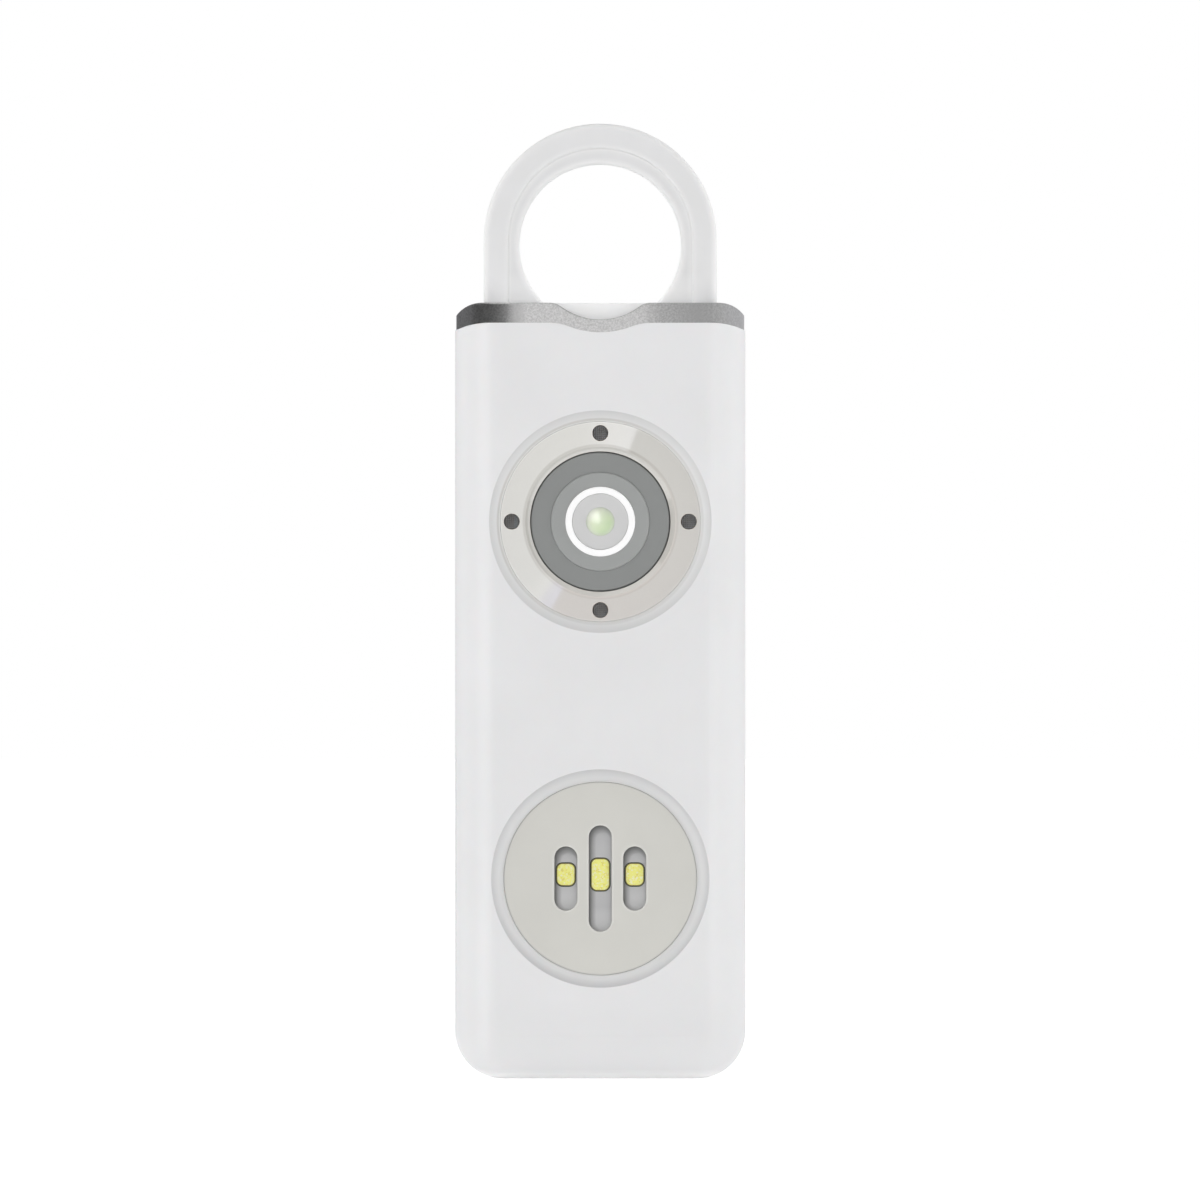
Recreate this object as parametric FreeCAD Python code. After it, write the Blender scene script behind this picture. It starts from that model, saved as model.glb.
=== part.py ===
import FreeCAD, Part
import math
import os

os.makedirs("parts", exist_ok=True)

Vector = FreeCAD.Vector

# Case. All sizes are in millimetres, +Z is up and the front faces -Y
CASE_WIDTH = 30.4
CASE_HEIGHT = 81.2
WALL = 1.4
CORNER_RADIUS = 5.0
EDGE_RADIUS = 4.4
LIP_THICKNESS = 0.65
LIP_HEIGHT = 0.8
LIP_GAP = 0.05

# Metal cap band, with the finger dip in its top and the same dip in its lower seam
CAP_THICKNESS = 2.1
CAP_INSET = 0.12
CAP_CORNER_WIDTH = 2.8
CAP_CORNER_DROP = 1.5
CAP_EDGE_ROUND = 0.15
CAP_PEG_RADIUS = 0.7
CAP_PEG_LENGTH = 1.6
CAP_PEG_INSET = 2.0
CAP_PEG_SIDE = 6.6
SEAM_CORNER_WIDTH = 3.6
SEAM_CORNER_DROP = 0.8
DIP_HALF_WIDTH = 5.3
DIP_DEPTH = 1.75
DIP_CENTRE_SHARE = 0.78
DIP_CAP_THICKNESS = 1.35
SEAM_CENTRE_SHARE = 0.63

# Pull ring, its plug in the cap's slot and its tongue in the case
RING_SIDE_INSET = 3.0
RING_LEG_HEIGHT = 6.6
RING_THICKNESS = 5.0
RING_RIM_WIDTH = 2.6
RING_PANEL_WIDTH = 1.13
RING_PANEL_DEPTH = 0.35
RING_HOLE_DROP = 0.55
RING_EDGE_ROUND = 0.6
RING_PANEL_ROUND = 0.3
RING_HOLE_ROUND = 0.4
PLUG_DEPTH = 3.4
PLUG_GAP = 0.1
SEAT_FLOOR = 1.2
TONGUE_WIDTH = 8.0
TONGUE_THICKNESS = 2.0
TONGUE_GAP = 0.1
TONGUE_TO_BOARD = 0.9
TONGUE_TIP_CHAMFER = 0.5
NOTCH_RADIUS = 0.35

# Spring clip that grips the tongue
CLIP_HEIGHT = 1.8
CLIP_STRIP = 0.25
CLIP_BUMP_RADIUS = 0.35
CLIP_GAP = 0.05
CLIP_REACH = 2.4
CLIP_BELOW_ROOF = 0.4
CLIP_POST_WIDTH = 3.0

# Siren bezel in its bevelled inset
BUTTON_DROP = 22.9
INSET_BEVEL_WIDTH = 1.16
INSET_BEVEL_DEPTH = 0.4
INSET_GAP = 0.03
BEZEL_FACE_WIDTH = 2.6
BEZEL_RIM_WIDTH = 0.5
BEZEL_RISE = 0.16
BEZEL_RIM_DROP = 0.25
BEZEL_FLANGE = 0.6
BEZEL_FLANGE_WIDTH = 0.85
SOUND_HOLE_RADIUS = 0.84
SOUND_HOLE_INSET = 1.19
SOUND_HOLES = 4
MESH_THICKNESS = 0.1

# Push button
BUTTON_RADIUS = 7.25
BUTTON_GAP = 0.1
BUTTON_SINK = 0.5
BUTTON_EDGE_ROUND = 0.15
BUTTON_FLANGE_WIDTH = 0.85
BUTTON_PLAY = 0.05
PAD_RADIUS = 5.18
PAD_RISE = 0.14
WHITE_RING_RADIUS = 3.66
WHITE_RING_WIDTH = 0.73
WHITE_RING_RISE = 0.1
INLAY_DEPTH = 0.9
INLAY_GAP = 0.02
INSERT_SINK = 0.06
LENS_RADIUS = 1.5
LENS_RISE = 0.38
LIGHT_PIPE_RADIUS = 1.0

# Switches and lamp behind the button
SWITCH_SIDE = 3.6
SWITCH_HEIGHT = 0.9
SWITCH_OFFSET = 4.8
SWITCH_PLUNGER_RADIUS = 0.9
SWITCH_STANDOFF = 0.35
SWITCH_STEM = 0.25
SLIDE_GAP = 0.05
INDICATOR_LENGTH = 2.0
INDICATOR_WIDTH = 1.25
INDICATOR_HEIGHT = 0.7

# Lamp cover in its coved inset, with three slots
LAMP_Z = 20.97
LAMP_COVER_RADIUS = 10.1
LAMP_COVE_WIDTH = 1.3
LAMP_COVE_DEPTH = 0.42
LAMP_COVE_BELLY = 0.12
LAMP_SINK = 0.45
LAMP_FLANGE = 0.5
LAMP_FLANGE_WIDTH = 0.95
SLOT_WIDTH = 2.4
SLOT_PITCH = 3.6
SLOT_EDGE_ROUND = 0.12
MIDDLE_SLOT_LENGTH = 11.1
SIDE_SLOT_LENGTH = 6.7
LAMP_TRAY_THICKNESS = 0.75
LAMP_BOARD_THICKNESS = 1.2
LAMP_BOARD_MARGIN = 0.5

# Lamps in the slots
LAMP_WIDTH = 2.0
MIDDLE_LAMP_LENGTH = 3.4
SIDE_LAMP_LENGTH = 2.4
LAMP_CORNER_RADIUS = 0.65
LAMP_RIM = 0.1
LAMP_RAISE = 0.4
LAMP_WINDOW_GAP = 0.08
LAMP_PROUD = 0.05
PHOSPHOR_DEPTH = 0.3
PHOSPHOR_PROUD = 0.06

# Main board and what it carries
BOARD_THICKNESS = 1.0
BOARD_SIDE_GAP = 1.3
BOARD_END_GAP = 1.2
BOARD_CORNER_RADIUS = 2.0
CHIP_LENGTH = 4.9
CHIP_WIDTH = 3.9
CHIP_HEIGHT = 1.4
CHIP_INSET = 5.1
CHIP_LEADS = 4
CHIP_LEAD_PITCH = 1.27
CHIP_LEAD_WIDTH = 0.4
CHIP_LEAD_LENGTH = 0.9
CHIP_LEAD_THICKNESS = 0.2
COIL_RADIUS = 2.2
COIL_HEIGHT = 2.0
COIL_FLANGE = 0.4
COIL_CORE_RADIUS = 1.0
COIL_WINDING_GAP = 0.15
COIL_X = 0.6
TRANSISTOR_LENGTH = 2.9
TRANSISTOR_WIDTH = 1.3
TRANSISTOR_HEIGHT = 1.0
TRANSISTOR_INSET = 5.5
TRANSISTOR_PITCH = 2.6
TRANSISTORS = 2
CAPACITOR_LENGTH = 1.6
CAPACITOR_WIDTH = 0.8
CAPACITOR_HEIGHT = 0.5
CAPACITOR_INSET = 1.7
CAPACITOR_PITCH = 1.5
CAPACITORS = 4

# Sound chamber and sounder behind the board
CHAMBER_SIDE_GAP = 0.1
CHAMBER_WALL = 1.1
CHAMBER_DEPTH = 4.5
SOUNDER_SEAT = 0.3
SOUNDER_GAP = 0.05
SOUNDER_THICKNESS = 0.25
CERAMIC_RADIUS = 7.0
CERAMIC_THICKNESS = 0.25
FOAM_WIDTH = 1.9
CONTACT_STRIP = 0.2
CONTACT_WIDTH = 1.2
CONTACT_FOOT = 1.6
DISC_CONTACT_RADIUS = 8.2
CERAMIC_CONTACT_RADIUS = 4.0

# Trigger switch under the tongue's tip
TRIGGER_WIDTH = 5.6
TRIGGER_DEPTH = 3.2
TRIGGER_HEIGHT = 2.8
TRIGGER_GAP = 0.3
TRIGGER_PLUNGER_RADIUS = 0.8
TRIGGER_STANDOFF = 0.7
TRIGGER_STEM = 1.4

# Coin cells, tray and contacts
CELL_Z = 25.5
CELL_RADIUS = 10.0
CELL_THICKNESS = 3.2
CELLS = 2
CELL_GAP = 0.2
CELL_END_GAP = 0.05
CELL_STEP = 0.25
CELL_CAN_WALL = 1.1
CELL_EDGE = 0.2
TRAY_FLOOR = 0.6
TRAY_WALL = 1.0
LEAF_THICKNESS = 0.2
LEAF_WIDTH = 4.0
LEAF_LENGTH = 13.0
LEAF_SLOT_GAP = 0.1
SIDE_LEAF_REACH = 0.8

# Battery cover on the back and its screw
COVER_THICKNESS = 0.8
COVER_MARGIN = 1.2
COVER_CORNER_RADIUS = 2.0
COVER_GAP = 0.1
COVER_TAB_WIDTH = 6.0
COVER_TAB_LENGTH = 1.2
COVER_SCREW_OFFSET = 13.4
COVER_SCREW_LENGTH = 4.4
COVER_BOSS_RADIUS = 1.9
COVER_HEAD_RADIUS = 1.5
COVER_HEAD_HEIGHT = 0.6

# Screws that close the case
SCREW_RADIUS = 0.8
SCREW_GAP = 0.03
HEAD_RADIUS = 1.6
HEAD_HEIGHT = 0.7
HEAD_GAP = 0.15
HEAD_SINK = 0.15
CROSS_WIDTH = 0.35
CROSS_SHARE = 0.7
BOSS_RADIUS = 2.1
BOSS_SIDE_INSET = 6.6
TOP_BOSS_DROP = 8.6
BOTTOM_BOSS_RISE = 6.4
PILOT_DEPTH = 1.9

# Places worked out through the depth, from the front face to the back
STACK = (LAMP_FLANGE + LAMP_TRAY_THICKNESS + LAMP_BOARD_THICKNESS + BOARD_THICKNESS
         + TRAY_FLOOR + LEAF_THICKNESS + CELLS * CELL_THICKNESS + CELL_END_GAP)
CASE_DEPTH = WALL + STACK + WALL
FRONT_Y = -CASE_DEPTH / 2
BACK_Y = CASE_DEPTH / 2
INNER_FRONT_Y = FRONT_Y + WALL
INNER_BACK_Y = BACK_Y - WALL
LAMP_TRAY_Y = INNER_FRONT_Y + LAMP_FLANGE
LAMP_BOARD_Y = LAMP_TRAY_Y + LAMP_TRAY_THICKNESS
BOARD_FRONT_Y = LAMP_BOARD_Y + LAMP_BOARD_THICKNESS
BOARD_BACK_Y = BOARD_FRONT_Y + BOARD_THICKNESS
TRAY_FLOOR_Y = BOARD_BACK_Y + TRAY_FLOOR
CELL_Y = TRAY_FLOOR_Y + LEAF_THICKNESS
COVER_SEAT_Y = BACK_Y - COVER_THICKNESS

# Places worked out across and up the case
HALF_WIDTH = CASE_WIDTH / 2
RING_WIDTH = CASE_WIDTH - 2 * RING_SIDE_INSET
BOARD_HALF_WIDTH = HALF_WIDTH - WALL - BOARD_SIDE_GAP
CHIP_X = CHIP_INSET - BOARD_HALF_WIDTH
TRANSISTOR_X = BOARD_HALF_WIDTH - TRANSISTOR_INSET
CAPACITOR_X = BOARD_HALF_WIDTH - CAPACITOR_INSET
SEAM_Z = CASE_HEIGHT - CAP_THICKNESS
SEAT_Z = CASE_HEIGHT - PLUG_DEPTH
ROOF_Z = SEAT_Z - SEAT_FLOOR
BUTTON_Z = CASE_HEIGHT - BUTTON_DROP
BORE_RADIUS = BUTTON_RADIUS + BUTTON_GAP
BEZEL_RADIUS = BORE_RADIUS + BEZEL_RIM_WIDTH + BEZEL_FACE_WIDTH
BEZEL_FLANGE_RADIUS = BEZEL_RADIUS + BEZEL_FLANGE_WIDTH
BEZEL_BACK_Y = INNER_FRONT_Y + BEZEL_FLANGE
SOUND_CIRCLE = BEZEL_RADIUS - SOUND_HOLE_INSET
LAMP_FLANGE_RADIUS = LAMP_COVER_RADIUS + LAMP_FLANGE_WIDTH
LAMP_CENTRE_Z = LAMP_Z + LAMP_RAISE
SWITCH_FRONT_Y = BOARD_FRONT_Y - SWITCH_HEIGHT
BUTTON_BACK_Y = SWITCH_FRONT_Y - SWITCH_STANDOFF
BUTTON_FLANGE_Y = BEZEL_BACK_Y + BUTTON_PLAY
BUTTON_FLANGE_RADIUS = BORE_RADIUS + BUTTON_FLANGE_WIDTH
BUTTON_FACE_Y = FRONT_Y + BUTTON_SINK
PAD_FACE_Y = BUTTON_FACE_Y - PAD_RISE
WHITE_RING_FACE_Y = PAD_FACE_Y - WHITE_RING_RISE
INSERT_FACE_Y = PAD_FACE_Y + INSERT_SINK
INLAY_FLOOR_Y = BUTTON_FACE_Y + INLAY_DEPTH
INSERT_RADIUS = WHITE_RING_RADIUS - WHITE_RING_WIDTH
CHAMBER_RADIUS = SOUND_CIRCLE + SOUND_HOLE_RADIUS + CHAMBER_SIDE_GAP
CHAMBER_OUTER_RADIUS = CHAMBER_RADIUS + CHAMBER_WALL
SOUNDER_RADIUS = CHAMBER_RADIUS + SOUNDER_SEAT
SOUNDER_Y = BOARD_BACK_Y + CHAMBER_DEPTH
SOUNDER_BACK_Y = SOUNDER_Y + SOUNDER_THICKNESS
TRIGGER_Z = BUTTON_Z + CHAMBER_OUTER_RADIUS + TRIGGER_GAP
TRIGGER_TOP_Z = TRIGGER_Z + TRIGGER_HEIGHT
TIP_Z = TRIGGER_TOP_Z + TRIGGER_STANDOFF
TONGUE_FRONT_Y = BOARD_BACK_Y + TONGUE_TO_BOARD
TONGUE_BACK_Y = TONGUE_FRONT_Y + TONGUE_THICKNESS
TONGUE_Y = (TONGUE_FRONT_Y + TONGUE_BACK_Y) / 2
CLIP_Z = ROOF_Z - CLIP_BELOW_ROOF - CLIP_HEIGHT / 2
POCKET_RADIUS = CELL_RADIUS + CELL_GAP
TRAY_RADIUS = POCKET_RADIUS + TRAY_WALL
COVER_SCREW_Z = CELL_Z - COVER_SCREW_OFFSET
COVER_HALF_WIDTH = POCKET_RADIUS + COVER_MARGIN
COVER_TOP_Z = CELL_Z + COVER_HALF_WIDTH + COVER_MARGIN
COVER_BOTTOM_Z = COVER_SCREW_Z - COVER_BOSS_RADIUS - COVER_MARGIN
SCREW_X = HALF_WIDTH - BOSS_SIDE_INSET
SCREW_PLACES = [(side * SCREW_X, z)
                for z in (BOTTOM_BOSS_RISE, CASE_HEIGHT - TOP_BOSS_DROP)
                for side in (-1, 1)]
SCREW_HEAD_Y = BACK_Y - HEAD_SINK - HEAD_HEIGHT
PARTS_Z = (LAMP_Z + LAMP_FLANGE_RADIUS + BUTTON_Z - BEZEL_FLANGE_RADIUS) / 2
BEYOND = 2.0
NEAR = 0.01


def box(x0, x1, y0, y1, z0, z1):
    """A block between two corners."""
    return Part.makeBox(x1 - x0, y1 - y0, z1 - z0, Vector(x0, y0, z0))


def rod(radius, x, z, y0, y1):
    """A cylinder that lies along Y."""
    return Part.makeCylinder(radius, y1 - y0, Vector(x, y0, z), Vector(0, 1, 0))


def post(radius, x, y, z0, z1):
    """An upright cylinder."""
    return Part.makeCylinder(radius, z1 - z0, Vector(x, y, z0))


def joined(shapes):
    """One solid from shapes that meet."""
    return shapes[0].multiFuse(shapes[1:]).removeSplitter()


def traced(start, steps, place):
    """A face inside a line from start, where a point is a straight and a pair (via, end) an arc."""
    edges = []
    here = start
    for step in steps + [start]:
        if isinstance(step[0], tuple):
            via, end = step
            edges.append(Part.Arc(place(here), place(via), place(end)).toShape())
        else:
            end = step
            if math.dist(here, end) > NEAR:
                edges.append(Part.makeLine(place(here), place(end)))
        here = end
    return Part.Face(Part.Wire(edges))


def slab(start, steps, y0, y1):
    """An outline in X and Z, given thickness from y0 to y1."""
    face = traced(start, steps, lambda p: Vector(p[0], y0, p[1]))
    return face.extrude(Vector(0, y1 - y0, 0))


def turned(start, steps, z, x=0.0):
    """An outline in radius and Y, turned about the line along Y through x and z."""
    face = traced(start, steps, lambda p: Vector(x + p[0], p[1], z))
    return face.revolve(Vector(x, 0, z), Vector(0, 1, 0), 360)


def ring(inner, outer, z, y0, y1):
    """A plain ring about the line along Y at height z."""
    return rod(outer, 0, z, y0, y1).cut(rod(inner, 0, z, y0, y1))


def corner(centre, radius, degrees):
    """The point of a round corner at an angle, from +X towards +Z."""
    angle = math.radians(degrees)
    return (centre[0] + radius * math.cos(angle), centre[1] + radius * math.sin(angle))


def tile(width, height, radius, x, z, y0, y1):
    """A block with rounded corners, centred on x and z."""
    right, top = x + width / 2, z + height / 2
    left, bottom = x - width / 2, z - height / 2
    places = [((right - radius, bottom + radius), -45), ((right - radius, top - radius), 45),
              ((left + radius, top - radius), 135), ((left + radius, bottom + radius), 225)]
    steps = []
    for centre, degrees in places:
        steps.append(corner(centre, radius, degrees - 45))
        steps.append((corner(centre, radius, degrees), corner(centre, radius, degrees + 45)))
    return slab(steps[0], steps[1:], y0, y1)


def stadium(width, length, x, z, y0, y1):
    """An upright slot with full round ends."""
    half = width / 2
    rise = (length - width) / 2
    steps = [((x, z + rise + half), (x - half, z + rise)), (x - half, z - rise),
             ((x, z - rise - half), (x + half, z - rise))]
    return slab((x + half, z + rise), steps, y0, y1)


def rounded(shape, radius, chosen):
    """The shape with a radius on each edge that chosen says yes to."""
    return shape.makeFillet(radius, [edge for edge in shape.Edges if chosen(edge)])


def case_form(inset, top):
    """The case's outer form, drawn in by inset on every side and cut level at top."""
    half = HALF_WIDTH - inset
    depth = CASE_DEPTH / 2 - inset
    radius = CORNER_RADIUS - inset
    centre = (half - radius, inset + radius)
    mirrored = (-centre[0], centre[1])
    steps = [(-half, centre[1]),
             (corner(mirrored, radius, 225), (mirrored[0], inset)),
             (centre[0], inset),
             (corner(centre, radius, -45), (half, centre[1])),
             (half, top)]
    block = slab((-half, top), steps, -depth, depth)

    def long_edge(edge):
        return abs(abs(edge.CenterOfMass.y) - depth) < NEAR and edge.BoundBox.ZMin < top - NEAR

    return rounded(block, min(EDGE_RADIUS, CORNER_RADIUS - NEAR) - inset, long_edge)


def dipped_top(flat_z, dip_depth, centre_share, corner_width, corner_drop):
    """Everything below a level line with a dip in its middle and rounded drops at the sides."""
    low = flat_z - dip_depth
    arcs = (DIP_HALF_WIDTH ** 2 + dip_depth ** 2) / (2 * dip_depth)
    centre_radius = centre_share * arcs
    shoulder_radius = arcs - centre_radius
    bend = math.asin(DIP_HALF_WIDTH / arcs)
    turn = (centre_radius * math.sin(bend), low + centre_radius * (1 - math.cos(bend)))
    shoulder = (DIP_HALF_WIDTH - shoulder_radius * math.sin(bend / 2),
                flat_z - shoulder_radius * (1 - math.cos(bend / 2)))
    start = HALF_WIDTH - corner_width
    side_radius = (corner_width ** 2 + corner_drop ** 2) / (2 * corner_drop)
    side_bend = math.asin(corner_width / side_radius)
    side_via = (start + side_radius * math.sin(side_bend / 2),
                flat_z - side_radius * (1 - math.cos(side_bend / 2)))
    side_end = (HALF_WIDTH, flat_z - corner_drop)
    out = HALF_WIDTH + BEYOND

    def left(point):
        return (-point[0], point[1])

    steps = [(-out, side_end[1]), left(side_end), (left(side_via), (-start, flat_z)),
             (-DIP_HALF_WIDTH, flat_z), (left(shoulder), left(turn)), ((0, low), turn),
             (shoulder, (DIP_HALF_WIDTH, flat_z)), (start, flat_z), (side_via, side_end),
             (out, side_end[1]), (out, -BEYOND)]
    return slab((-out, -BEYOND), steps, FRONT_Y - BEYOND, BACK_Y + BEYOND)


def below_seam():
    """Everything below the seam between the shells and the cap."""
    dip = DIP_DEPTH + DIP_CAP_THICKNESS - CAP_THICKNESS
    return dipped_top(SEAM_Z, dip, SEAM_CENTRE_SHARE, SEAM_CORNER_WIDTH, SEAM_CORNER_DROP)


def below_top():
    """Everything below the cap's top."""
    return dipped_top(CASE_HEIGHT, DIP_DEPTH, DIP_CENTRE_SHARE, CAP_CORNER_WIDTH, CAP_CORNER_DROP)


def plug_slot(gap, z0, z1):
    """The ring plug's section, wider by gap all round."""
    half_width = RING_WIDTH / 2 + gap
    half_depth = RING_THICKNESS / 2 + gap
    block = box(-half_width, half_width, -half_depth, half_depth, z0, z1)
    return rounded(block, RING_EDGE_ROUND + gap,
                   lambda edge: edge.BoundBox.ZLength > abs(z1 - z0) - NEAR)


def tongue_block(gap, z0, z1):
    """The tongue's section, wider by gap all round."""
    half = TONGUE_WIDTH / 2 + gap
    return box(-half, half, TONGUE_FRONT_Y - gap, TONGUE_BACK_Y + gap, z0, z1)


def peg_places():
    """Where the cap's pegs stand, in X and Y."""
    x = HALF_WIDTH - CAP_PEG_SIDE
    y = BACK_Y - CAP_PEG_INSET
    return [(side * x, face * y) for side in (-1, 1) for face in (-1, 1)]


def hollow_case():
    """Both shells in one, with the room inside, the plug's seat and the tongue's slot."""
    body = case_form(0, CASE_HEIGHT + BEYOND).common(below_seam())
    cuts = [case_form(WALL, ROOF_Z), plug_slot(PLUG_GAP, SEAT_Z, CASE_HEIGHT),
            tongue_block(TONGUE_GAP, ROOF_Z - BEYOND, CASE_HEIGHT)]
    for x, y in peg_places():
        cuts.append(post(CAP_PEG_RADIUS + LIP_GAP, x, y, SEAM_Z - CAP_PEG_LENGTH - LIP_GAP, CASE_HEIGHT))
    return body.cut(cuts)


def half_space(front):
    """The front or the back half of everything."""
    reach = CASE_HEIGHT + BEYOND
    if front:
        return box(-reach, reach, -reach, 0, -BEYOND, reach)
    return box(-reach, reach, 0, reach, -BEYOND, reach)


def lip(inset, height):
    """The rim of the case at the parting plane, from the room out to inset."""
    band = case_form(inset, ROOF_Z + WALL - inset).cut(case_form(WALL, ROOF_Z))
    slice_box = box(-CASE_WIDTH, CASE_WIDTH, 0, height, 0, CASE_HEIGHT)
    return band.common(slice_box).cut(tongue_block(TONGUE_GAP, ROOF_Z - BEYOND, CASE_HEIGHT))


def front_shell():
    """Front half of the case, with the two insets, the lip and the screw bosses."""
    shell = hollow_case().common(half_space(True))
    bevel_radius = BEZEL_RADIUS + INSET_GAP
    bevel_floor = FRONT_Y + INSET_BEVEL_DEPTH
    slope = INSET_BEVEL_WIDTH / INSET_BEVEL_DEPTH
    upper = turned((0, FRONT_Y - BEYOND),
                   [(bevel_radius + INSET_BEVEL_WIDTH + slope * BEYOND, FRONT_Y - BEYOND),
                    (bevel_radius, bevel_floor), (bevel_radius, INNER_FRONT_Y + BEYOND),
                    (0, INNER_FRONT_Y + BEYOND)], BUTTON_Z)
    cove_radius = LAMP_COVER_RADIUS + INSET_GAP
    cove_outer = cove_radius + LAMP_COVE_WIDTH
    cove_floor = FRONT_Y + LAMP_COVE_DEPTH
    belly = ((cove_outer + cove_radius) / 2 + LAMP_COVE_BELLY,
             (FRONT_Y + cove_floor) / 2 + LAMP_COVE_BELLY)
    lower = turned((0, FRONT_Y - BEYOND),
                   [(cove_outer, FRONT_Y - BEYOND), (cove_outer, FRONT_Y),
                    (belly, (cove_radius, cove_floor)),
                    (cove_radius, INNER_FRONT_Y + BEYOND), (0, INNER_FRONT_Y + BEYOND)], LAMP_Z)
    seats = [rod(radius + INSET_GAP, 0, z, INNER_FRONT_Y, BOARD_FRONT_Y)
             for radius, z in ((BEZEL_FLANGE_RADIUS, BUTTON_Z), (LAMP_FLANGE_RADIUS, LAMP_Z))]
    shell = shell.cut([upper, lower] + seats)
    bosses = [rod(BOSS_RADIUS, x, z, INNER_FRONT_Y - WALL / 2, BOARD_FRONT_Y)
              for x, z in SCREW_PLACES]
    shell = joined([shell, lip(WALL - LIP_THICKNESS, LIP_HEIGHT)] + bosses)
    pilots = [rod(SCREW_RADIUS + SCREW_GAP, x, z, BOARD_FRONT_Y - PILOT_DEPTH, BOARD_FRONT_Y + NEAR)
              for x, z in SCREW_PLACES]
    return shell.cut(pilots)


def cover_plate(gap, y0):
    """The battery cover's outline, wider by gap, from y0 out to the back's surface."""
    height = COVER_TOP_Z - COVER_BOTTOM_Z + 2 * gap
    middle = (COVER_TOP_Z + COVER_BOTTOM_Z) / 2
    return tile(2 * (COVER_HALF_WIDTH + gap), height, COVER_CORNER_RADIUS + gap, 0, middle,
                y0, BACK_Y + BEYOND)


def rear_shell():
    """Back half of the case, with the battery opening, the screw bosses and the clip's post."""
    shell = hollow_case().common(half_space(False))
    shell = shell.cut(lip(WALL - LIP_THICKNESS - LIP_GAP, LIP_HEIGHT + LIP_GAP))
    bosses = [rod(BOSS_RADIUS, x, z, BOARD_BACK_Y, BACK_Y - WALL / 2) for x, z in SCREW_PLACES]
    clip_back = TONGUE_BACK_Y + CLIP_GAP + CLIP_STRIP
    clip_post = box(-CLIP_POST_WIDTH / 2, CLIP_POST_WIDTH / 2, clip_back, BACK_Y - WALL / 2,
                    CLIP_Z - CLIP_HEIGHT / 2, CLIP_Z + CLIP_HEIGHT / 2)
    shell = joined([shell, clip_post] + bosses)
    cuts = [cover_plate(COVER_GAP, COVER_SEAT_Y), tab_room(COVER_GAP),
            rod(POCKET_RADIUS, 0, CELL_Z, INNER_BACK_Y - NEAR, BACK_Y),
            rod(TRAY_RADIUS + COVER_GAP, 0, CELL_Z, BOARD_BACK_Y, INNER_BACK_Y),
            rod(COVER_BOSS_RADIUS + COVER_GAP, 0, COVER_SCREW_Z, INNER_BACK_Y - NEAR, BACK_Y)]
    for x, z in SCREW_PLACES:
        cuts.append(rod(SCREW_RADIUS + SCREW_GAP, x, z, BOARD_BACK_Y - NEAR, BACK_Y))
        cuts.append(rod(HEAD_RADIUS + HEAD_GAP, x, z, SCREW_HEAD_Y, BACK_Y + BEYOND))
    return shell.cut(cuts)


def top_cap():
    """Metal band on top, with the slot for the ring and four pegs into the shells."""
    case = case_form(CAP_INSET, CASE_HEIGHT + BEYOND).common(below_top())
    side = HALF_WIDTH - CAP_INSET - NEAR

    def top_rim(edge):
        across = edge.BoundBox.XLength > NEAR or edge.BoundBox.XMax > side
        return (across or edge.BoundBox.XMin < -side) and edge.BoundBox.ZMin > SEAM_Z - NEAR

    band = rounded(case, CAP_EDGE_ROUND, top_rim).cut(below_seam())
    pegs = [post(CAP_PEG_RADIUS, x, y, SEAM_Z - CAP_PEG_LENGTH, SEAM_Z) for x, y in peg_places()]
    band = band.cut(plug_slot(PLUG_GAP, SEAT_Z, CASE_HEIGHT + BEYOND))
    return joined([band] + pegs)


def pull_ring():
    """Finger ring with a thinner panel inside its rim, its plug and its tongue."""
    half = RING_WIDTH / 2
    side = RING_THICKNESS / 2
    middle = CASE_HEIGHT + RING_LEG_HEIGHT
    inner = half - RING_RIM_WIDTH
    arch = slab((-half, SEAT_Z), [(-half, middle), ((0, middle + half), (half, middle)),
                                  (half, SEAT_Z)], -side, side)
    arch = rounded(arch, RING_EDGE_ROUND,
                   lambda edge: abs(abs(edge.CenterOfMass.y) - side) < NEAR
                   and edge.BoundBox.ZMax > SEAT_Z + NEAR)
    recess = side - RING_PANEL_DEPTH
    for front, back in ((-side - BEYOND, -recess), (recess, side + BEYOND)):
        arch = arch.cut(slab((-inner, SEAT_Z - BEYOND),
                             [(-inner, middle), ((0, middle + inner), (inner, middle)),
                              (inner, SEAT_Z - BEYOND)], front, back))
    arch = rounded(arch, RING_PANEL_ROUND,
                   lambda edge: abs(abs(edge.CenterOfMass.y) - side) < NEAR
                   and abs(edge.BoundBox.XMax) <= inner + NEAR
                   and abs(edge.BoundBox.XMin) <= inner + NEAR
                   and edge.BoundBox.ZMax > SEAT_Z + NEAR)
    hole_radius = inner - RING_PANEL_WIDTH
    hole = rod(hole_radius, 0, middle - RING_HOLE_DROP, -side - BEYOND, side + BEYOND)
    hole = hole.common(box(-half, half, -side - BEYOND, side + BEYOND, CASE_HEIGHT, middle + half))
    arch = rounded(arch.cut(hole), RING_HOLE_ROUND,
                   lambda edge: abs(abs(edge.CenterOfMass.y) - recess) < NEAR
                   and abs(edge.BoundBox.XMax) <= hole_radius + NEAR
                   and abs(edge.BoundBox.XMin) <= hole_radius + NEAR
                   and edge.BoundBox.ZMax > CASE_HEIGHT + NEAR)
    tongue = tongue_block(0, TIP_Z, SEAT_Z + RING_PANEL_WIDTH)
    tongue = tongue.makeChamfer(TONGUE_TIP_CHAMFER,
                                [edge for edge in tongue.Edges
                                 if edge.BoundBox.ZMax < TIP_Z + NEAR and edge.BoundBox.XLength < NEAR])
    notches = [rod(NOTCH_RADIUS, edge * TONGUE_WIDTH / 2, CLIP_Z, TONGUE_FRONT_Y - BEYOND,
                   TONGUE_BACK_Y + BEYOND) for edge in (-1, 1)]
    return joined([arch, tongue]).cut(notches)


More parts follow.
